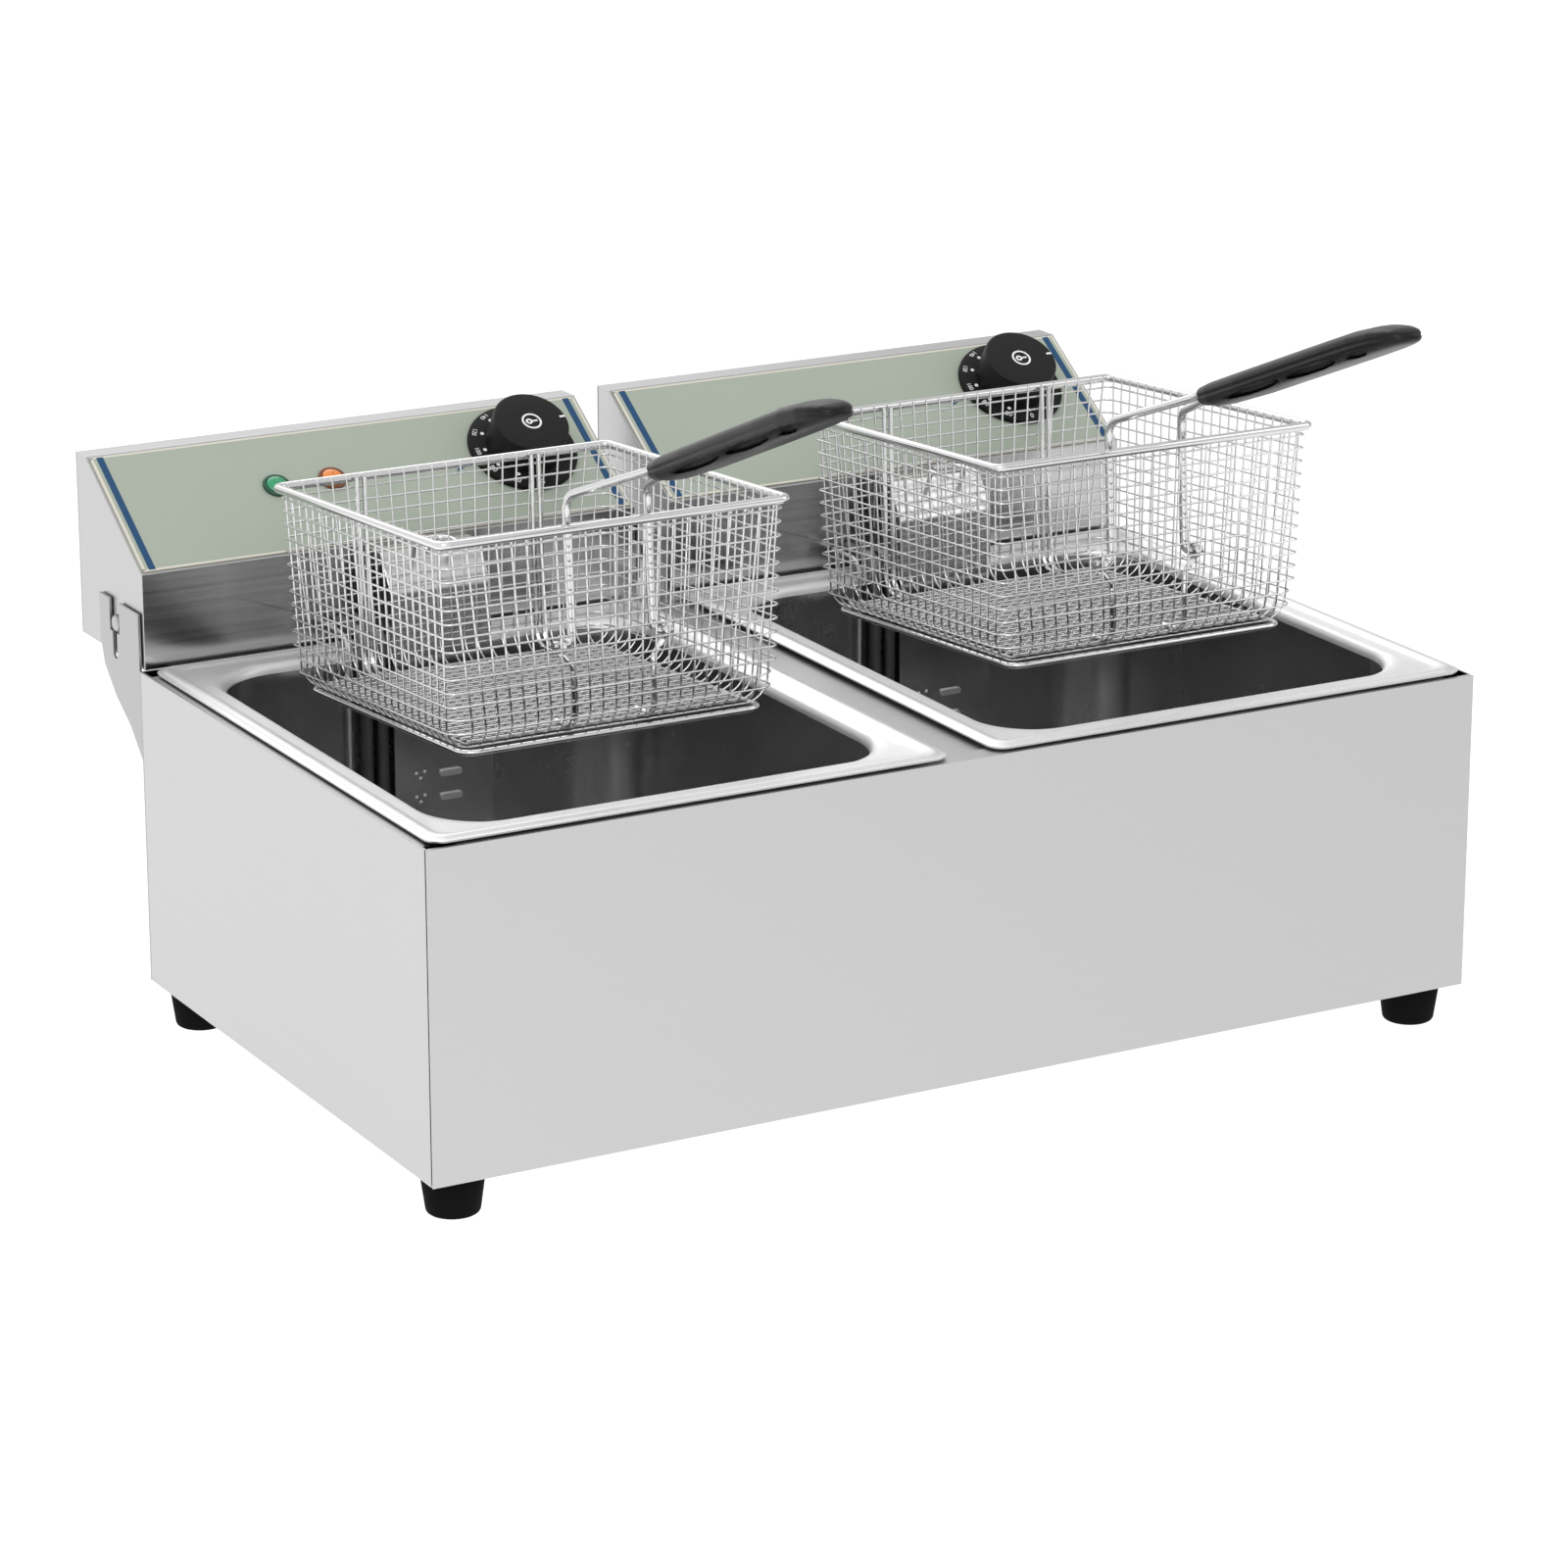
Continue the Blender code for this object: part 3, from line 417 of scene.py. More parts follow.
def tank(side):
    """Pressed tank: beaded rim, flange, drawn wall and round foot, given as (inset, height)."""
    low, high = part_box(f"tank_{side}")
    top, floor = high.z, low.z + TANK_SHEET
    middle = Vector(((low.x + high.x) / 2, (low.y + high.y) / 2, 0))
    width, length = high.x - low.x, high.y - low.y
    rim = [(0.0, top - 0.0015), (0.0003, top - 0.0014), (0.0018, top - 0.0013), (0.0023, top - 0.0010),
           (0.0029, top - 0.0004), (0.0036, top - 0.0001), (0.0045, top), (0.0056, top - 0.0001),
           (0.0068, top - 0.0004), (0.0078, top - 0.0009), (RIM_BEAD, top - 0.0012), (0.0096, top - 0.0014),
           (RIM_WIDTH - 0.0036, top - 0.0015), (RIM_WIDTH - 0.0020, top - 0.0018),
           (RIM_WIDTH - 0.0008, top - 0.0027), (RIM_WIDTH - 0.0001, top - 0.0045)]
    wall = [(RIM_WIDTH + 0.0002, top - 0.0065), (RIM_WIDTH + 0.0012, floor + 0.0140)]
    turn = [(RIM_WIDTH + 0.0012 + 0.0118 * (1 - math.cos(a)), floor + 0.0140 - 0.0140 * math.sin(a))
            for a in (math.radians(15 * k) for k in range(1, 7))]
    line = rim + wall + turn
    under = offset_line(line, -TANK_SHEET)
    shape = Shape()
    split = len(rim)

    def ring(p):
        points = rounded_ring(width - 2 * p[0], length - 2 * p[0], tank_radius(p[0]), p[1], steps=12)
        return [point + middle for point in points]
    inner = [ring(p) for p in line]
    outer = [ring(p) for p in reversed(under)]
    shape.loft(inner[:split + 1], caps=False, slot=0)
    # the wall and floor take the darker tank steel, which is painted shade inside the tank
    shape.loft(inner[split:], caps=False, slot=1)
    shape.add(inner[-1], [tuple(range(len(inner[-1])))], 1)
    shape.loft(outer, caps=False, slot=0)
    shape.add(outer[0], [tuple(range(len(outer[0])))], 0)
    shape.loft([outer[-1], inner[0]], caps=False, slot=0)
    shape.piece(f"tank_pressed_{side}", f"tank_{side}", [MATERIALS["rim"], MATERIALS["tank"]],
                (f"tank_{side}",), angle=40)


# ------------------------------------------------------------------ control head
def on_slope(side, x, up):
    """Frame on the head's slope, with local Y up the slope and local Z out of it."""
    turn = Matrix.Rotation(SLOPE_ANGLE, 4, "X")
    place = Matrix.Translation((UNIT_X[side] + x, SLOPE_BASE.y, SLOPE_BASE.z))
    return place @ turn @ Matrix.Translation((0, up, 0))


def overlay_print(side):
    """Cream border and blue stripes of the overlay, and the small pointer beside the dial."""
    low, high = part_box(f"overlay_{side}")
    half, near, far = (high.x - low.x) / 2, 0.0020, SLOPE_LENGTH - 0.0020
    face = on_slope(side, 0, 0)
    border = Shape()
    for x0, y0, x1, y1 in ((-half - 0.0006, near - 0.0006, half + 0.0006, near + 0.0006),
                           (-half - 0.0006, far - 0.0006, half + 0.0006, far + 0.0006),
                           (-half - 0.0006, near, -half + 0.0008, far),
                           (half - 0.0008, near, half + 0.0006, far)):
        border.prism([(x0, y0), (x1, y0), (x1, y1), (x0, y1)], 0.00004, OVERLAY_FACE + 0.00006, face)
    border.piece(f"overlay_border_{side}", f"head_{side}", [MATERIALS["cream"]])
    shape = Shape()
    ink = (OVERLAY_FACE + 0.00002, OVERLAY_FACE + 0.00010)
    for sign in (-1, 1):
        inner, outer = sorted((sign * (half - 0.0026), sign * (half - 0.0061)))
        shape.prism([(inner, near), (outer, near), (outer, far), (inner, far)], *ink, face)
    x, y = KNOB_X - 0.0335, KNOB_UP - 0.0060
    shape.prism([(x, y), (x - 0.0062, y + 0.0026), (x - 0.0048, y), (x - 0.0062, y - 0.0026)], *ink, face)
    shape.piece(f"overlay_stripes_{side}", f"head_{side}", [MATERIALS["blue"]])


def lamp(side, colour):
    """Coloured bezel with a stem through the case, and a patterned lens in it."""
    matrix = on_slope(side, LAMP_X[colour], LAMP_UP)
    face = OVERLAY_FACE + 0.0003
    collar = [(0.0045, -0.012), (0.0045, face), (0.0072, face), (0.0072, face + 0.0007),
              (0.0070, face + 0.0012), (0.0064, face + 0.0015), (0.0057, face + 0.0015),
              (0.0053, face + 0.0011), (0.0040, face + 0.0011), (0.0040, -0.012)]
    ring = Shape()
    ring.turned(collar, matrix, 48, ring=True)
    ring.piece(f"lamp_bezel_{colour}_{side}", f"head_{side}", [MATERIALS[f"{colour}_bezel"]],
               (f"lamp_{colour}_{side}",), angle=30)
    crown = [(0, face + 0.0011), (0.0052, face + 0.0011), (0.0052, face + 0.0015), (0.0048, face + 0.0019),
             (0.0036, face + 0.0023), (0.0018, face + 0.0025), (0, face + 0.0026)]
    shape = Shape()
    shape.turned(crown, matrix, 48)
    shape.piece(f"lamp_lens_{colour}_{side}", f"head_{side}", [MATERIALS[colour]],
                angle=30)


def text_outline(text, size, matrix):
    """A number as a thin raised mesh in the given frame."""
    curve = bpy.data.curves.new("dial_text", "FONT")
    curve.body = text
    curve.size = size
    curve.align_x = "CENTER"
    curve.align_y = "CENTER"
    curve.extrude = 0.00006
    curve.resolution_u = 3
    holder = bpy.data.objects.new("dial_text", curve)
    bpy.context.scene.collection.objects.link(holder)
    bpy.context.view_layer.update()
    mesh = bpy.data.meshes.new_from_object(holder.evaluated_get(bpy.context.evaluated_depsgraph_get()))
    verts = [matrix @ v.co for v in mesh.vertices]
    faces = [tuple(p.vertices) for p in mesh.polygons]
    bpy.data.objects.remove(holder, do_unlink=True)
    bpy.data.curves.remove(curve)
    bpy.data.meshes.remove(mesh)
    return verts, faces


DIAL_NUMBERS = ("0", "60", "80", "100", "120", "140", "160", "180", "190")
DIAL_STEP = math.radians(30)
KNOB_SKIRT, KNOB_CAP, KNOB_HEIGHT = 0.0285, 0.0197, 0.022        # two radii, and the height above the slope


def knob(side):
    """Dial skirt and cap in one turned piece, and the white marks on it."""
    matrix = on_slope(side, KNOB_X, KNOB_UP)
    low = OVERLAY_FACE + 0.0007
    top = KNOB_HEIGHT
    junction = (KNOB_CAP, low + 0.0036)
    cap = [(0, top - 0.0001), (0.0060, top - 0.0001), (KNOB_CAP - 0.0016, top),
           (KNOB_CAP - 0.0008, top - 0.0002), (KNOB_CAP - 0.0002, top - 0.0008),
           (KNOB_CAP, top - 0.0018), junction]
    skirt = [junction, (KNOB_SKIRT - 0.0012, low + 0.0027), (KNOB_SKIRT - 0.0004, low + 0.0023),
             (KNOB_SKIRT, low + 0.0016), (KNOB_SKIRT, low), (0.0036, low), (0.0036, 0.0160), (0, 0.0160)]
    shape = Shape()
    shape.turned(cap, matrix, 96, caps=False)
    shape.turned(skirt, matrix, 96, slot=1, caps=False)
    shape.piece(f"knob_moulded_{side}", f"knob_{side}", [MATERIALS["knob"], MATERIALS["skirt"]],
                (f"knob_{side}",), angle=30)
    marks = Shape()
    for i, label in enumerate(DIAL_NUMBERS):
        turn = matrix @ Matrix.Rotation(math.radians(-90) - i * DIAL_STEP, 4, "Z")
        lean = Matrix.Rotation(math.radians(6), 4, "Y") @ Matrix.Rotation(math.radians(90), 4, "Z")
        marks.add(*text_outline(label, 0.0042 if len(label) < 3 else 0.0034,
                                turn @ Matrix.Translation((0.0256, 0, low + 0.0031)) @ lean))
        marks.turned([(0, -0.0001), (0.0010, -0.0001), (0.0010, 0.0001), (0, 0.0001)],
                     turn @ Matrix.Translation((0.0217, 0, low + 0.00345)), 20)
    tick = matrix @ Matrix.Rotation(math.radians(2), 4, "Z")
    marks.prism([(0.0158, -0.0006), (0.0188, -0.0006), (0.0188, 0.0006), (0.0158, 0.0006)], top - 0.0004,
                top + 0.00006, tick)
    ink = (top - 0.0003, top + 0.00005)
    for inner, outer, x, steps in ((0.0042, 0.0052, 0.0, 48), (0.0008, 0.0018, -0.0014, 24)):
        marks.turned([(inner, ink[0]), (inner, ink[1]), (outer, ink[1]), (outer, ink[0])],
                     matrix @ Matrix.Translation((x, 0, 0)), steps, ring=True)
    marks.prism([(0.0002, -0.0005), (0.0032, -0.0005), (0.0032, 0.0005), (0.0002, 0.0005)], *ink, matrix)
    marks.piece(f"dial_marks_{side}", f"knob_{side}", [MATERIALS["white"]])


def facing_back(side, x, z):
    """Frame on the head's rear cover, with local Z pointing back."""
    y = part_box(f"head_cover_{side}")[1].y
    return Matrix.Translation((UNIT_X[side] + x, y, z)) @ Matrix.Rotation(math.radians(-90), 4, "X")


def middle_of(node):
    low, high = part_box(node)
    return (low + high) / 2


def back_fittings(side):
    """Cable gland with a ribbed nut, reset button in its collar, and the cover's screws."""
    centre = middle_of(f"cable_gland_{side}")
    matrix = facing_back(side, centre.x - UNIT_X[side], centre.z)
    face = 0.0003
    nut = Shape()
    nut.turned([(0.0042, 0.0150), (0.0042, -0.0100), (0.0088, -0.0100), (0.0088, face), (0.0124, face),
                (0.0124, 0.0012), (0.0118, 0.0020), (0.0114, 0.0030), (0.0114, 0.0078), (0.0106, 0.0086),
                (0.0092, 0.0118), (0.0074, 0.0144), (0.0062, 0.0150)], matrix, 48, ring=True)
    for k in range(12):
        rib = Matrix.Rotation(math.radians(30 * k), 4, "Z")
        nut.prism([(0.0108, -0.0012), (0.0122, -0.0008), (0.0122, 0.0008), (0.0108, 0.0012)],
                  0.0026, 0.0076, matrix @ rib)
    nut.piece(f"cable_gland_moulded_{side}", f"head_{side}", [MATERIALS["knob"]], (f"cable_gland_{side}",),
              angle=30)
    centre = middle_of(f"reset_button_{side}")
    matrix = facing_back(side, centre.x - UNIT_X[side], centre.z)
    button = Shape()
    button.turned(list(reversed([(0, 0.0035), (0.0026, 0.0034), (0.0036, 0.0030), (0.0040, 0.0022),
                                 (0.0040, -0.0060), (0, -0.0060)])), matrix, 32)
    button.piece(f"reset_button_moulded_{side}", f"reset_{side}", [MATERIALS["red"]],
                 (f"reset_button_{side}",), angle=30)
    collar = Shape()
    collar.turned([(0.0043, 0.0001), (0.0043, 0.0016), (0.0058, 0.0016), (0.0070, 0.0008), (0.0070, 0.0001)],
                  matrix, 32, ring=True)
    collar.piece(f"reset_collar_{side}", f"head_{side}", [MATERIALS["knob"]], angle=30)
    low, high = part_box(f"head_cover_{side}")
    screws = Shape()
    for x in (low.x + 0.008, high.x - 0.008):
        for z in (low.z + 0.008, high.z - 0.008):
            screw_head(screws, facing_back(side, x - UNIT_X[side], z))
    screws.piece(f"cover_screws_{side}", f"head_{side}", [MATERIALS["base"]], angle=30)


def screw_head(shape, matrix):
    """Pan head with a round recess."""
    radius = 0.0034
    dome = [(radius * math.cos(a), 0.0002 + radius * 0.55 * math.sin(a))
            for a in (math.radians(15 * k) for k in range(6))]
    shape.turned([(radius, 0.0001)] + dome + [(0.0012, 0.0020), (0.0009, 0.0011), (0, 0.0011)], matrix, 24)


def pins(side):
    """The two pins that each head hangs on, with chamfered ends."""
    for end in SIDES:
        node = f"head_pin_{end}_{side}"
        low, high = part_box(node)
        radius, half, edge = (high.z - low.z) / 2, (high.x - low.x) / 2, 0.0006
        profile = [(0, -half), (radius - edge, -half), (radius, -half + edge),
                   (radius, half - edge), (radius - edge, half), (0, half)]
        shape = Shape()
        lying = Matrix.Translation(middle_of(node)) @ Matrix.Rotation(math.radians(90), 4, "Y")
        shape.turned(profile, lying, 32)
        shape.piece(f"{node}_turned", f"head_{side}", [MATERIALS["base"]], (node,), angle=30)


ELEMENT_Y = 0.2896 - ORIGIN_BACK                 # the upright legs
ELEMENT_OUT, ELEMENT_Z = 0.190, 0.052            # heights of the exit and of the flat run
ELEMENT_LEGS = (-0.030, -0.022)
ELEMENT_RADIUS, ELEMENT_BEND = 0.00325, 0.0075
BULB_X, BULB_Z, BULB_RADIUS = -0.039, 0.070, 0.003


def heating_element(side):
    """The same serpentine as the frame's, with round bends."""
    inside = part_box(f"heating_element_{side}")[1].y
    left, right = ELEMENT_LEGS
    runs = [(left, 0.262), (-0.088, 0.262), (-0.088, 0.060), (0.090, 0.060), (0.090, 0.250), (0.058, 0.250),
            (0.058, 0.092), (0.026, 0.092), (0.026, 0.250), (-0.006, 0.250), (-0.006, 0.092), (right, 0.092)]
    corners = [(left, inside, ELEMENT_OUT), (left, ELEMENT_Y, ELEMENT_OUT), (left, ELEMENT_Y, ELEMENT_Z)]
    corners += [(x, y - ORIGIN_BACK, ELEMENT_Z) for x, y in runs]
    corners += [(right, ELEMENT_Y, ELEMENT_Z), (right, ELEMENT_Y, ELEMENT_OUT), (right, inside, ELEMENT_OUT)]
    shape = Shape()
    path = [p + Vector((UNIT_X[side], 0, 0)) for p in rounded_path(corners, ELEMENT_BEND, 8)]
    shape.tube(path, ELEMENT_RADIUS, 16)
    shape.piece(f"heating_tube_{side}", f"head_{side}", [MATERIALS["element"]], (f"heating_element_{side}",))


def thermostat_bulb(side):
    """Capillary tube down from the head, and the sensing bulb on its end."""
    low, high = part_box(f"thermostat_bulb_{side}")
    x, y = UNIT_X[side] + BULB_X, ELEMENT_Y + 0.0006
    corners = [(x, high.y, ELEMENT_OUT), (x, y, ELEMENT_OUT), (x, y, BULB_Z),
               (x, 0.272 - ORIGIN_BACK, BULB_Z)]
    shape = Shape()
    shape.tube(rounded_path(corners, 0.008, 8), 0.001, 10)
    near, far, radius = 0.2709 - ORIGIN_BACK, low.y + 0.0002, BULB_RADIUS
    profile = [(0, near), (0.0014, near), (0.0020, near - 0.0020), (radius, near - 0.0032),
               (radius, far + 0.0020), (radius * 0.6, far + 0.0004), (0, far)]
    shape.turned([(r, -v) for r, v in profile], Matrix.Translation((x, 0, BULB_Z))
                 @ Matrix.Rotation(math.radians(90), 4, "X"), 24)
    shape.piece(f"thermostat_probe_{side}", f"head_{side}", [MATERIALS["rim"]], (f"thermostat_bulb_{side}",),
                angle=40)


def level_marks(side):
    """Raised oil level bars near the foot of the element bracket, with three dots beside each."""
    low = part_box(f"element_bracket_{side}")[0]
    left, right, half = low.x + 0.0242, low.x + 0.0362, 0.0017
    dot = [(0, 0.0008), (0.0006, 0.0006), (0.0009, 0.0), (0.0009, -0.0002), (0, -0.0002)]
    shape = Shape()
    matrix = Matrix.Translation((0, low.y, 0)) @ Matrix.Rotation(math.radians(90), 4, "X")
    for z in (0.1130, 0.1008):
        bar = rounded_path([(left, z - half), (right, z - half), (right, z + half), (left, z + half)],
                           0.0015, 4, closed=True)
        shape.prism([(p.x, p.y) for p in bar], -0.0002, 0.0013, matrix)
        for dx, dz in ((0.0115, 0.0016), (0.0160, 0.0020), (0.0138, -0.0012)):
            place = matrix @ Matrix.Translation((low.x + dx, z + dz, 0))
            shape.turned(dot, place, 16)
    shape.piece(f"level_marks_{side}", f"head_{side}", [MATERIALS["rim"]], bevel=0.0002)


def darken_front(side):
    """The head's front is a darker, more polished face than the rest of the case."""
    mesh = frame["nodes"][f"head_case_{side}"].data
    mesh.materials.append(MATERIALS["head_front"])
    for face in mesh.polygons:
        if face.normal.y < -0.95:
            face.material_index = 1


def head(side):
    dress(f"head_case_{side}", "head", 0.0003)
    darken_front(side)
    dress(f"head_cover_{side}", "panel_x", 0.0002)
    dress(f"overlay_{side}", "print")
    dress(f"element_bracket_{side}", "bright", 0.0004)
    dress(f"terminal_block_{side}", "ceramic")
    dress(f"thermostat_{side}", "knob", 0.001)
    dress(f"spindle_{side}", "base")
    overlay_print(side)
    for colour in LAMP_X:
        lamp(side, colour)
    knob(side)
    back_fittings(side)
    pins(side)
    heating_element(side)
    thermostat_bulb(side)
    level_marks(side)


# ------------------------------------------------------------------ basket
def basket_frame(side):
    """Frame at the middle of the rim's top, found from the handle's hinge."""
    joint = next(j for j in frame["joints"] if j["name"] == f"handle_fold_{side}")
    turn = Matrix.Rotation(BASKET_TILT, 4, "X")
    hinge = turn @ Vector((0, HANDLE_Y, HANDLE_Z))
    return Matrix.Translation(Vector(joint["pos_m"]) - hinge) @ turn


WALL_TOP, WALL_FOOT = -0.0047, -0.0900
WALL_WIDTH, WALL_LENGTH = 0.178, 0.181
WALL_TAPER_X, WALL_TAPER_Y = 0.007, 0.003        # how much smaller the foot is than the top
FLOOR_TOP = -0.1008          # axis of the lowest floor wires


def wall_at(z):
    """Outer width, length and shift of the mesh wall at a height."""
    share = (z - WALL_TOP) / (WALL_FOOT - WALL_TOP)
    return WALL_WIDTH - WALL_TAPER_X * share, WALL_LENGTH - WALL_TAPER_Y * share, FLOOR_SHIFT * share


def mesh_rings(shape, matrix):
    """The horizontal wires, outside the upright ones."""
    for i in range(RINGS):
        z = RING_TOP - RING_PITCH * i
        width, length, shift = wall_at(z)
        corner = 0.004 if i < RINGS - 2 else 0.010
        ring = rounded_ring(width - 2 * MESH_WIRE, length - 2 * MESH_WIRE, corner, z, shift, 5)
        shape.tube([matrix @ p for p in ring], MESH_WIRE, 8, closed=True)


def upright(x_side, at_top, at_low, floor):
    """Corners of one U-shaped wire: down a wall, over the floor and up the opposite wall."""
    inset = 3 * MESH_WIRE
    width_top, length_top, _ = wall_at(0.0)
    width_low, length_low, shift = wall_at(floor)
    if x_side:
        top, low = width_top / 2 - inset, width_low / 2 - inset
        corners = [(-top, at_top, UPRIGHT_TOP), (-low, at_low + shift, floor), (low, at_low + shift, floor),
                   (top, at_top, UPRIGHT_TOP)]
    else:
        top, low = length_top / 2 - inset, length_low / 2 - inset
        corners = [(at_top, -top, UPRIGHT_TOP), (at_low, shift - low, floor), (at_low, shift + low, floor),
                   (at_top, top, UPRIGHT_TOP)]
    return rounded_path(corners, [0, UPRIGHT_BEND, UPRIGHT_BEND, 0], 8)


def mesh_uprights(shape, matrix):
    """Wires down the walls, joined over the floor, and extra floor wires between them."""
    for x_side, span_top, span_low in ((True, 0.170, 0.160), (False, 0.168, 0.146)):
        floor = FLOOR_TOP + (0.0 if x_side else 2 * MESH_WIRE)
        for i in range(UPRIGHTS):
            at = i / (UPRIGHTS - 1) - 0.5
            path = upright(x_side, at * span_top, at * span_low, floor)
            shape.tube([matrix @ p for p in path], MESH_WIRE, 8)
            if x_side and i:
                y, z = (at - 0.5 / (UPRIGHTS - 1)) * span_low + FLOOR_SHIFT, floor + 4 * MESH_WIRE
                ends = [matrix @ Vector((x, y, z)) for x in (-FLOOR_WIRE_HALF, FLOOR_WIRE_HALF)]
                shape.tube(ends, MESH_WIRE, 8)


def basket_mesh(side, matrix):
    shape = Shape()
    mesh_rings(shape, matrix)
    mesh_uprights(shape, matrix)
    shape.piece(f"basket_mesh_{side}", f"basket_{side}", [MATERIALS["wire"]], (f"basket_{side}",),
                angle=60)


def basket_wires(side, matrix):
    """Rim, bottom frame, and the upright support wires."""
    rim = Shape()
    ring = rounded_ring(BASKET_WIDTH - 2 * RIM_WIRE, BASKET_LENGTH - 2 * RIM_WIRE, 0.004, -RIM_WIRE, steps=10)
    rim.tube([matrix @ p for p in ring], RIM_WIRE, 20, closed=True)
    rim.piece(f"basket_rim_round_{side}", f"basket_{side}", [MATERIALS["wire"]], (f"basket_rim_{side}",))
    base = Shape()
    low = rounded_ring(FLOOR_WIDTH + 0.001, FLOOR_LENGTH - 0.003, 0.008, -BASKET_HEIGHT + 0.0016,
                       FLOOR_SHIFT, 10)
    base.tube([matrix @ p for p in low], 0.0015, 12, closed=True)
    for x in (-0.047, 0.047):
        for dx in (-0.0020, 0.0020):
            base.tube([matrix @ p for p in back_support(x + dx)], 0.0012, 10)
    for x in (-HANDLE_HALF, HANDLE_HALF):
        base.tube([matrix @ p for p in front_support(x)], 0.0015, 10)
        base.tube([matrix @ p for p in hinge_eye(x)], EYE_WIRE, 10, closed=True)
    base.piece(f"basket_frame_wires_{side}", f"basket_{side}", [MATERIALS["wire"]])


def back_support(x):
    """Wire from the rim down the inside of the back wall and over the floor."""
    _, top, _ = wall_at(0.0)
    _, low, shift = wall_at(WALL_FOOT)
    inset, floor = 0.0036, -BASKET_HEIGHT + 0.0058
    corners = [(x, top / 2 - inset, -0.0016), (x, low / 2 + shift - inset, floor),
               (x, low / 2 + shift - 0.024, floor)]
    return rounded_path(corners, [0, 0.010, 0], 8)


EYE_ASIDE, EYE_RADIUS, EYE_WIRE = 0.0055, 0.0035, 0.0012        # beside the leg, loop radius, wire radius


def hinge_eye(x):
    """Loop of wire round the handle's foot, clear of it by 0.2 mm."""
    at = x + math.copysign(EYE_ASIDE, x)
    return [Vector((at, HANDLE_Y + EYE_RADIUS * math.cos(a), HANDLE_Z + EYE_RADIUS * math.sin(a)))
            for a in (math.radians(15 * k) for k in range(24))]


def front_support(x):
    """Wire from below the hinge eye down the inside of the front wall and over the floor."""
    _, low, shift = wall_at(WALL_FOOT)
    inset, floor = 0.0040, -BASKET_HEIGHT + 0.0060
    corners = [(x + math.copysign(EYE_ASIDE, x), HANDLE_Y, HANDLE_Z - 0.0042),
               (x, HANDLE_Y, HANDLE_Z - 0.011), (x, -low / 2 + shift + inset, floor),
               (x, -low / 2 + shift + 0.022, floor)]
    return rounded_path(corners, [0, 0.006, 0.008, 0], 6)


def basket_hook(side):
    """U of wire behind the basket that hangs on the head's hanger."""
    low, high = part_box(f"basket_hook_{side}")
    x, z, radius = (low.x + high.x) / 2, (low.z + high.z) / 2, (high.z - low.z) / 2
    half, near, far = (high.x - low.x) / 2 - radius, low.y, high.y - radius
    corners = [(x - half, near, z), (x - half, far, z), (x + half, far, z), (x + half, near, z)]
    shape = Shape()
    shape.tube(rounded_path(corners, 0.007, 10), radius, 12)
    shape.piece(f"basket_hook_round_{side}", f"basket_{side}", [MATERIALS["wire"]], (f"basket_hook_{side}",))


# ------------------------------------------------------------------ handle
def shank(distance, x=0.0, lift=0.0):
    """A point on the handle's sloping shank, in the hinge's frame."""
    return Vector((x, -distance * math.cos(HANDLE_RISE) - lift * math.sin(HANDLE_RISE),
                   HANDLE_BEND + distance * math.sin(HANDLE_RISE) - lift * math.cos(HANDLE_RISE)))


def handle_wire(side, matrix):
    """One bent wire from foot to foot, looped inside the grip, and the bar between its legs."""
    near, half, foot_reach = WIRE_PITCH, HANDLE_HALF, 0.010
    end = GRIP_FROM + TANG
    one_side = [Vector((-half - foot_reach, 0, 0)), Vector((-half, 0, 0)), Vector((-half, 0, HANDLE_BEND)),
                shank(GRIP_FROM - 0.004, -near), shank(end, -near)]
    other_side = [Vector((-p.x, p.y, p.z)) for p in reversed(one_side)]
    bends = [0, 0.004, 0.009, 0.020, 0.0055]
    path = rounded_path(one_side + other_side, bends + bends[::-1], 8)
    shape = Shape()
    shape.tube([matrix @ p for p in path], HANDLE_WIRE, 16)
    reach = half - HANDLE_WIRE * 0.5
    low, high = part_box(f"handle_crossbar_{side}")
    bar = middle_of(f"handle_crossbar_{side}")
    shape.tube([(bar.x - reach, bar.y, bar.z), (bar.x + reach, bar.y, bar.z)], (high.z - low.z) / 2, 12)
    shape.piece(f"handle_wire_round_{side}", f"handle_{side}", [MATERIALS["wire"]],
                (f"handle_wire_{side}", f"handle_crossbar_{side}"))


# Stations of the grip: distance along it, width, underside and top.
GRIP = ((0.000, 0.0150, -0.0030, 0.0026), (0.0006, 0.0176, -0.0040, 0.0034), (0.003, 0.0212, -0.0058, 0.0044),
        (0.012, 0.0243, -0.0073, 0.0049), (0.040, 0.0277, -0.0080, 0.0049), (0.115, 0.0281, -0.0080, 0.0051),
        (0.137, 0.0271, -0.0080, 0.0051), (0.152, 0.0250, -0.0079, 0.0041), (0.160, 0.0218, -0.0077, 0.0022),
        (0.165, 0.0178, -0.0074, 0.0004), (0.1685, 0.0122, -0.0067, -0.0018),
        (0.1698, 0.0066, -0.0057, -0.0032))
GRIP_POINTS, GRIP_SQUARENESS = 120, 0.7
POCKETS = ((0.028, 0.076), (0.080, 0.124), (0.130, 0.148))       # from, to
POCKET_UP, POCKET_HALF, POCKET_DEPTH = -0.0058, 0.0015, 0.0034


def grip_section(along):
    """Width, underside and top of the grip at a distance along it."""
    for a, b in zip(GRIP, GRIP[1:]):
        if along <= b[0]:
            share = (along - a[0]) / (b[0] - a[0])
            return [p + (q - p) * share for p, q in zip(a[1:], b[1:])]
    return GRIP[-1][1:]


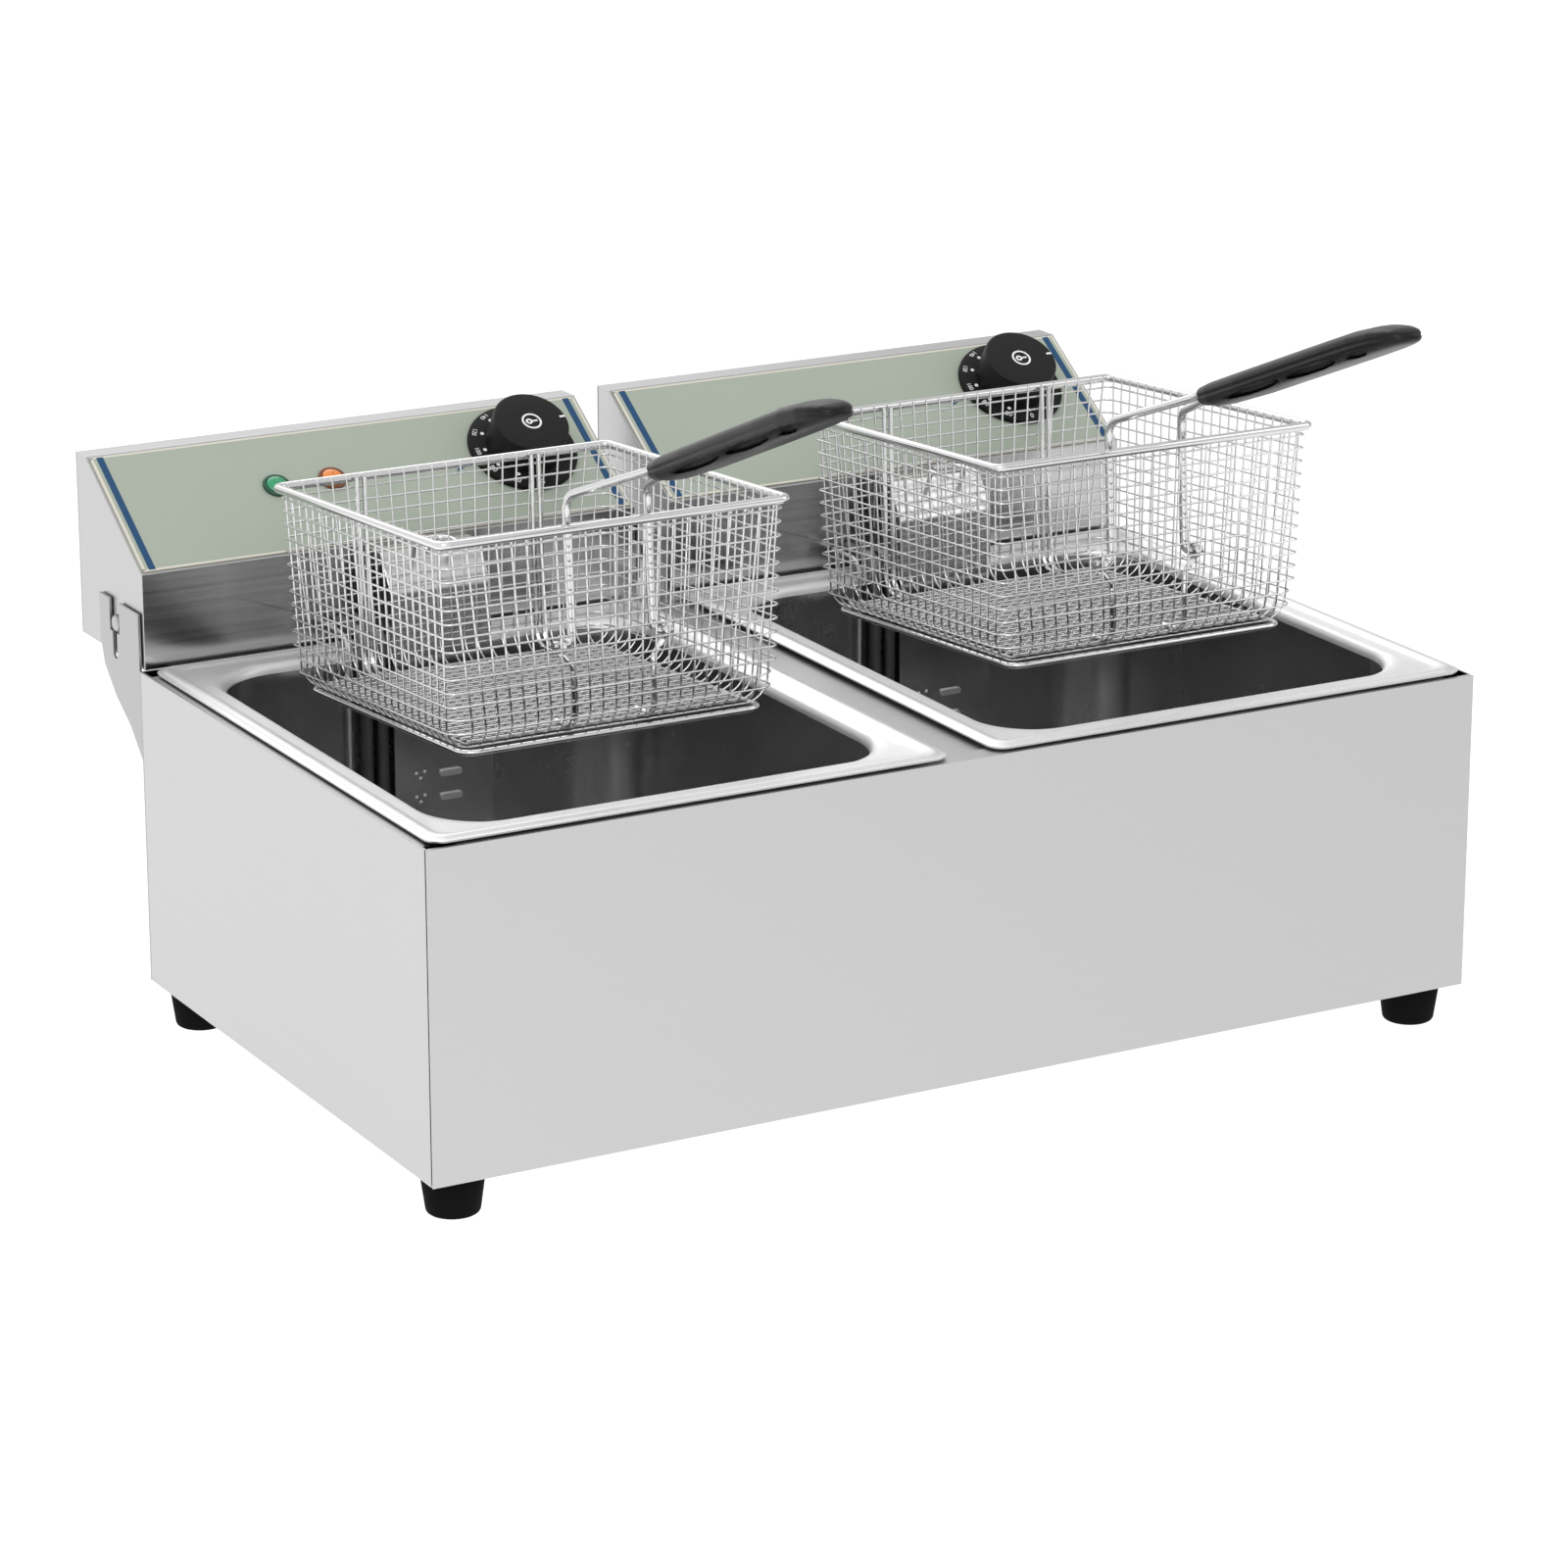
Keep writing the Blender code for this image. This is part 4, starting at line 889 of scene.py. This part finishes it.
def hollow(along, up):
    """Depth of the lens-shaped recesses low on the grip's sides."""
    for start, end in POCKETS:
        across = 1 - ((along - (start + end) / 2) / ((end - start) / 2)) ** 2
        if across > 0:
            edge = abs(up - POCKET_UP) / (POCKET_HALF * math.sqrt(across))
            return POCKET_DEPTH * min(1.0, max(0.0, (1.1 - edge) / 0.3))
    return 0.0


def grip(side, matrix):
    """Moulded grip, with a parting line and recesses along its sides."""
    steps = sorted({round(k * 0.002, 4) for k in range(84)} | {row[0] for row in GRIP} | {0.1690})
    rings = []
    for along in steps:
        width, low, high = grip_section(along)
        ring = []
        for k in range(GRIP_POINTS):
            angle = 2 * math.pi * (k + 0.5) / GRIP_POINTS
            c, s = math.cos(angle), math.sin(angle)
            x = width / 2 * math.copysign(abs(c) ** GRIP_SQUARENESS, c)
            up = (low + high + (high - low) * math.copysign(abs(s) ** GRIP_SQUARENESS, s)) / 2
            if abs(s) < 0.06:
                x -= math.copysign(0.0003, x)
            x -= math.copysign(hollow(along, up), x)
            ring.append(matrix @ shank(GRIP_FROM + along, x, -up))
        rings.append(ring)
    shape = Shape()
    shape.loft(rings)
    shape.piece(f"handle_grip_moulded_{side}", f"handle_{side}", [MATERIALS["grip"]],
                (f"handle_grip_{side}",), angle=50)


def basket(side):
    matrix = basket_frame(side)
    basket_mesh(side, matrix)
    basket_wires(side, matrix)
    basket_hook(side)
    hinge = matrix @ Matrix.Translation((0, HANDLE_Y, HANDLE_Z))
    handle_wire(side, hinge)
    grip(side, hinge)


# ------------------------------------------------------------------ stage
def floor_and_light():
    """White floor that glows a little less to the right, a soft world, and three area lights."""
    shape = Shape()
    shape.prism([(-6, -6), (6, -6), (6, 6), (-6, 6)], -0.02, 0.0)
    mesh = bpy.data.meshes.new("floor")
    mesh.from_pydata(shape.verts, [], shape.faces)
    floor = bpy.data.objects.new("floor", mesh)
    bpy.context.scene.collection.objects.link(floor)
    made, nodes, links, shader = new_material("pale_floor")
    shader.inputs["Base Color"].default_value = (0.12, 0.12, 0.12, 1)
    shader.inputs["Roughness"].default_value = 0.9
    shader.inputs["Specular IOR Level"].default_value = 0.0
    coord = nodes.new("ShaderNodeTexCoord")
    place = nodes.new("ShaderNodeMapping")
    place.inputs["Location"].default_value = (0.5, 0.0, 0.0)
    split = nodes.new("ShaderNodeSeparateXYZ")
    links.new(coord.outputs["Object"], place.inputs["Vector"])
    links.new(place.outputs["Vector"], split.inputs["Vector"])
    links.new(ramp(nodes, links, split.outputs["X"], 1.0, 0.84, 0.0, 1.0), shader.inputs["Emission Color"])
    shader.inputs["Emission Strength"].default_value = 1.18
    mesh.materials.append(made)

    world = bpy.data.worlds.new("studio")
    bpy.context.scene.world = world
    world.use_nodes = True
    nodes, links = world.node_tree.nodes, world.node_tree.links
    background = nodes["Background"]
    coord = nodes.new("ShaderNodeTexCoord")
    split = nodes.new("ShaderNodeSeparateXYZ")
    links.new(coord.outputs["Generated"], split.inputs["Vector"])
    sky = ramp(nodes, links, split.outputs["X"], 1.0, (0.50, 0.50, 0.51), 0.1, 0.9)
    links.new(sky, background.inputs["Color"])
    background.inputs["Strength"].default_value = 1.0
    for name, spot, size, power in (("key", (-1.6, -1.8, 2.6), 1.6, 26.0),
                                    ("fill", (2.4, -1.2, 1.8), 2.0, 14.0),
                                    ("back", (0.4, 2.4, 2.2), 2.2, 18.0)):
        light = bpy.data.lights.new(name, "AREA")
        light.energy = power
        light.size = size
        obj = bpy.data.objects.new(name, light)
        obj.location = spot
        obj.rotation_mode = "QUATERNION"
        obj.rotation_quaternion = (Vector((0, 0, 0.15)) - Vector(spot)).to_track_quat("-Z", "Y")
        bpy.context.scene.collection.objects.link(obj)


def camera():
    made = bpy.data.cameras.new("camera")
    made.lens, made.sensor_width = 126.23, 36.0
    made.clip_end = 30.0
    obj = bpy.data.objects.new("camera", made)
    obj.location = (-1.25378, -2.06261 - ORIGIN_BACK, 0.92361)
    turn, tilt = math.radians(29.19), math.radians(17.44)
    look = Vector((math.sin(turn) * math.cos(tilt), math.cos(turn) * math.cos(tilt), -math.sin(tilt)))
    obj.rotation_mode = "QUATERNION"
    obj.rotation_quaternion = look.to_track_quat("-Z", "Y")
    bpy.context.scene.collection.objects.link(obj)
    bpy.context.scene.camera = obj


bpy.context.scene.view_settings.view_transform = "Standard"
camera()
floor_and_light()
housing()
for unit in SIDES:
    tank(unit)
    head(unit)
    basket(unit)

bpy.context.view_layer.update()
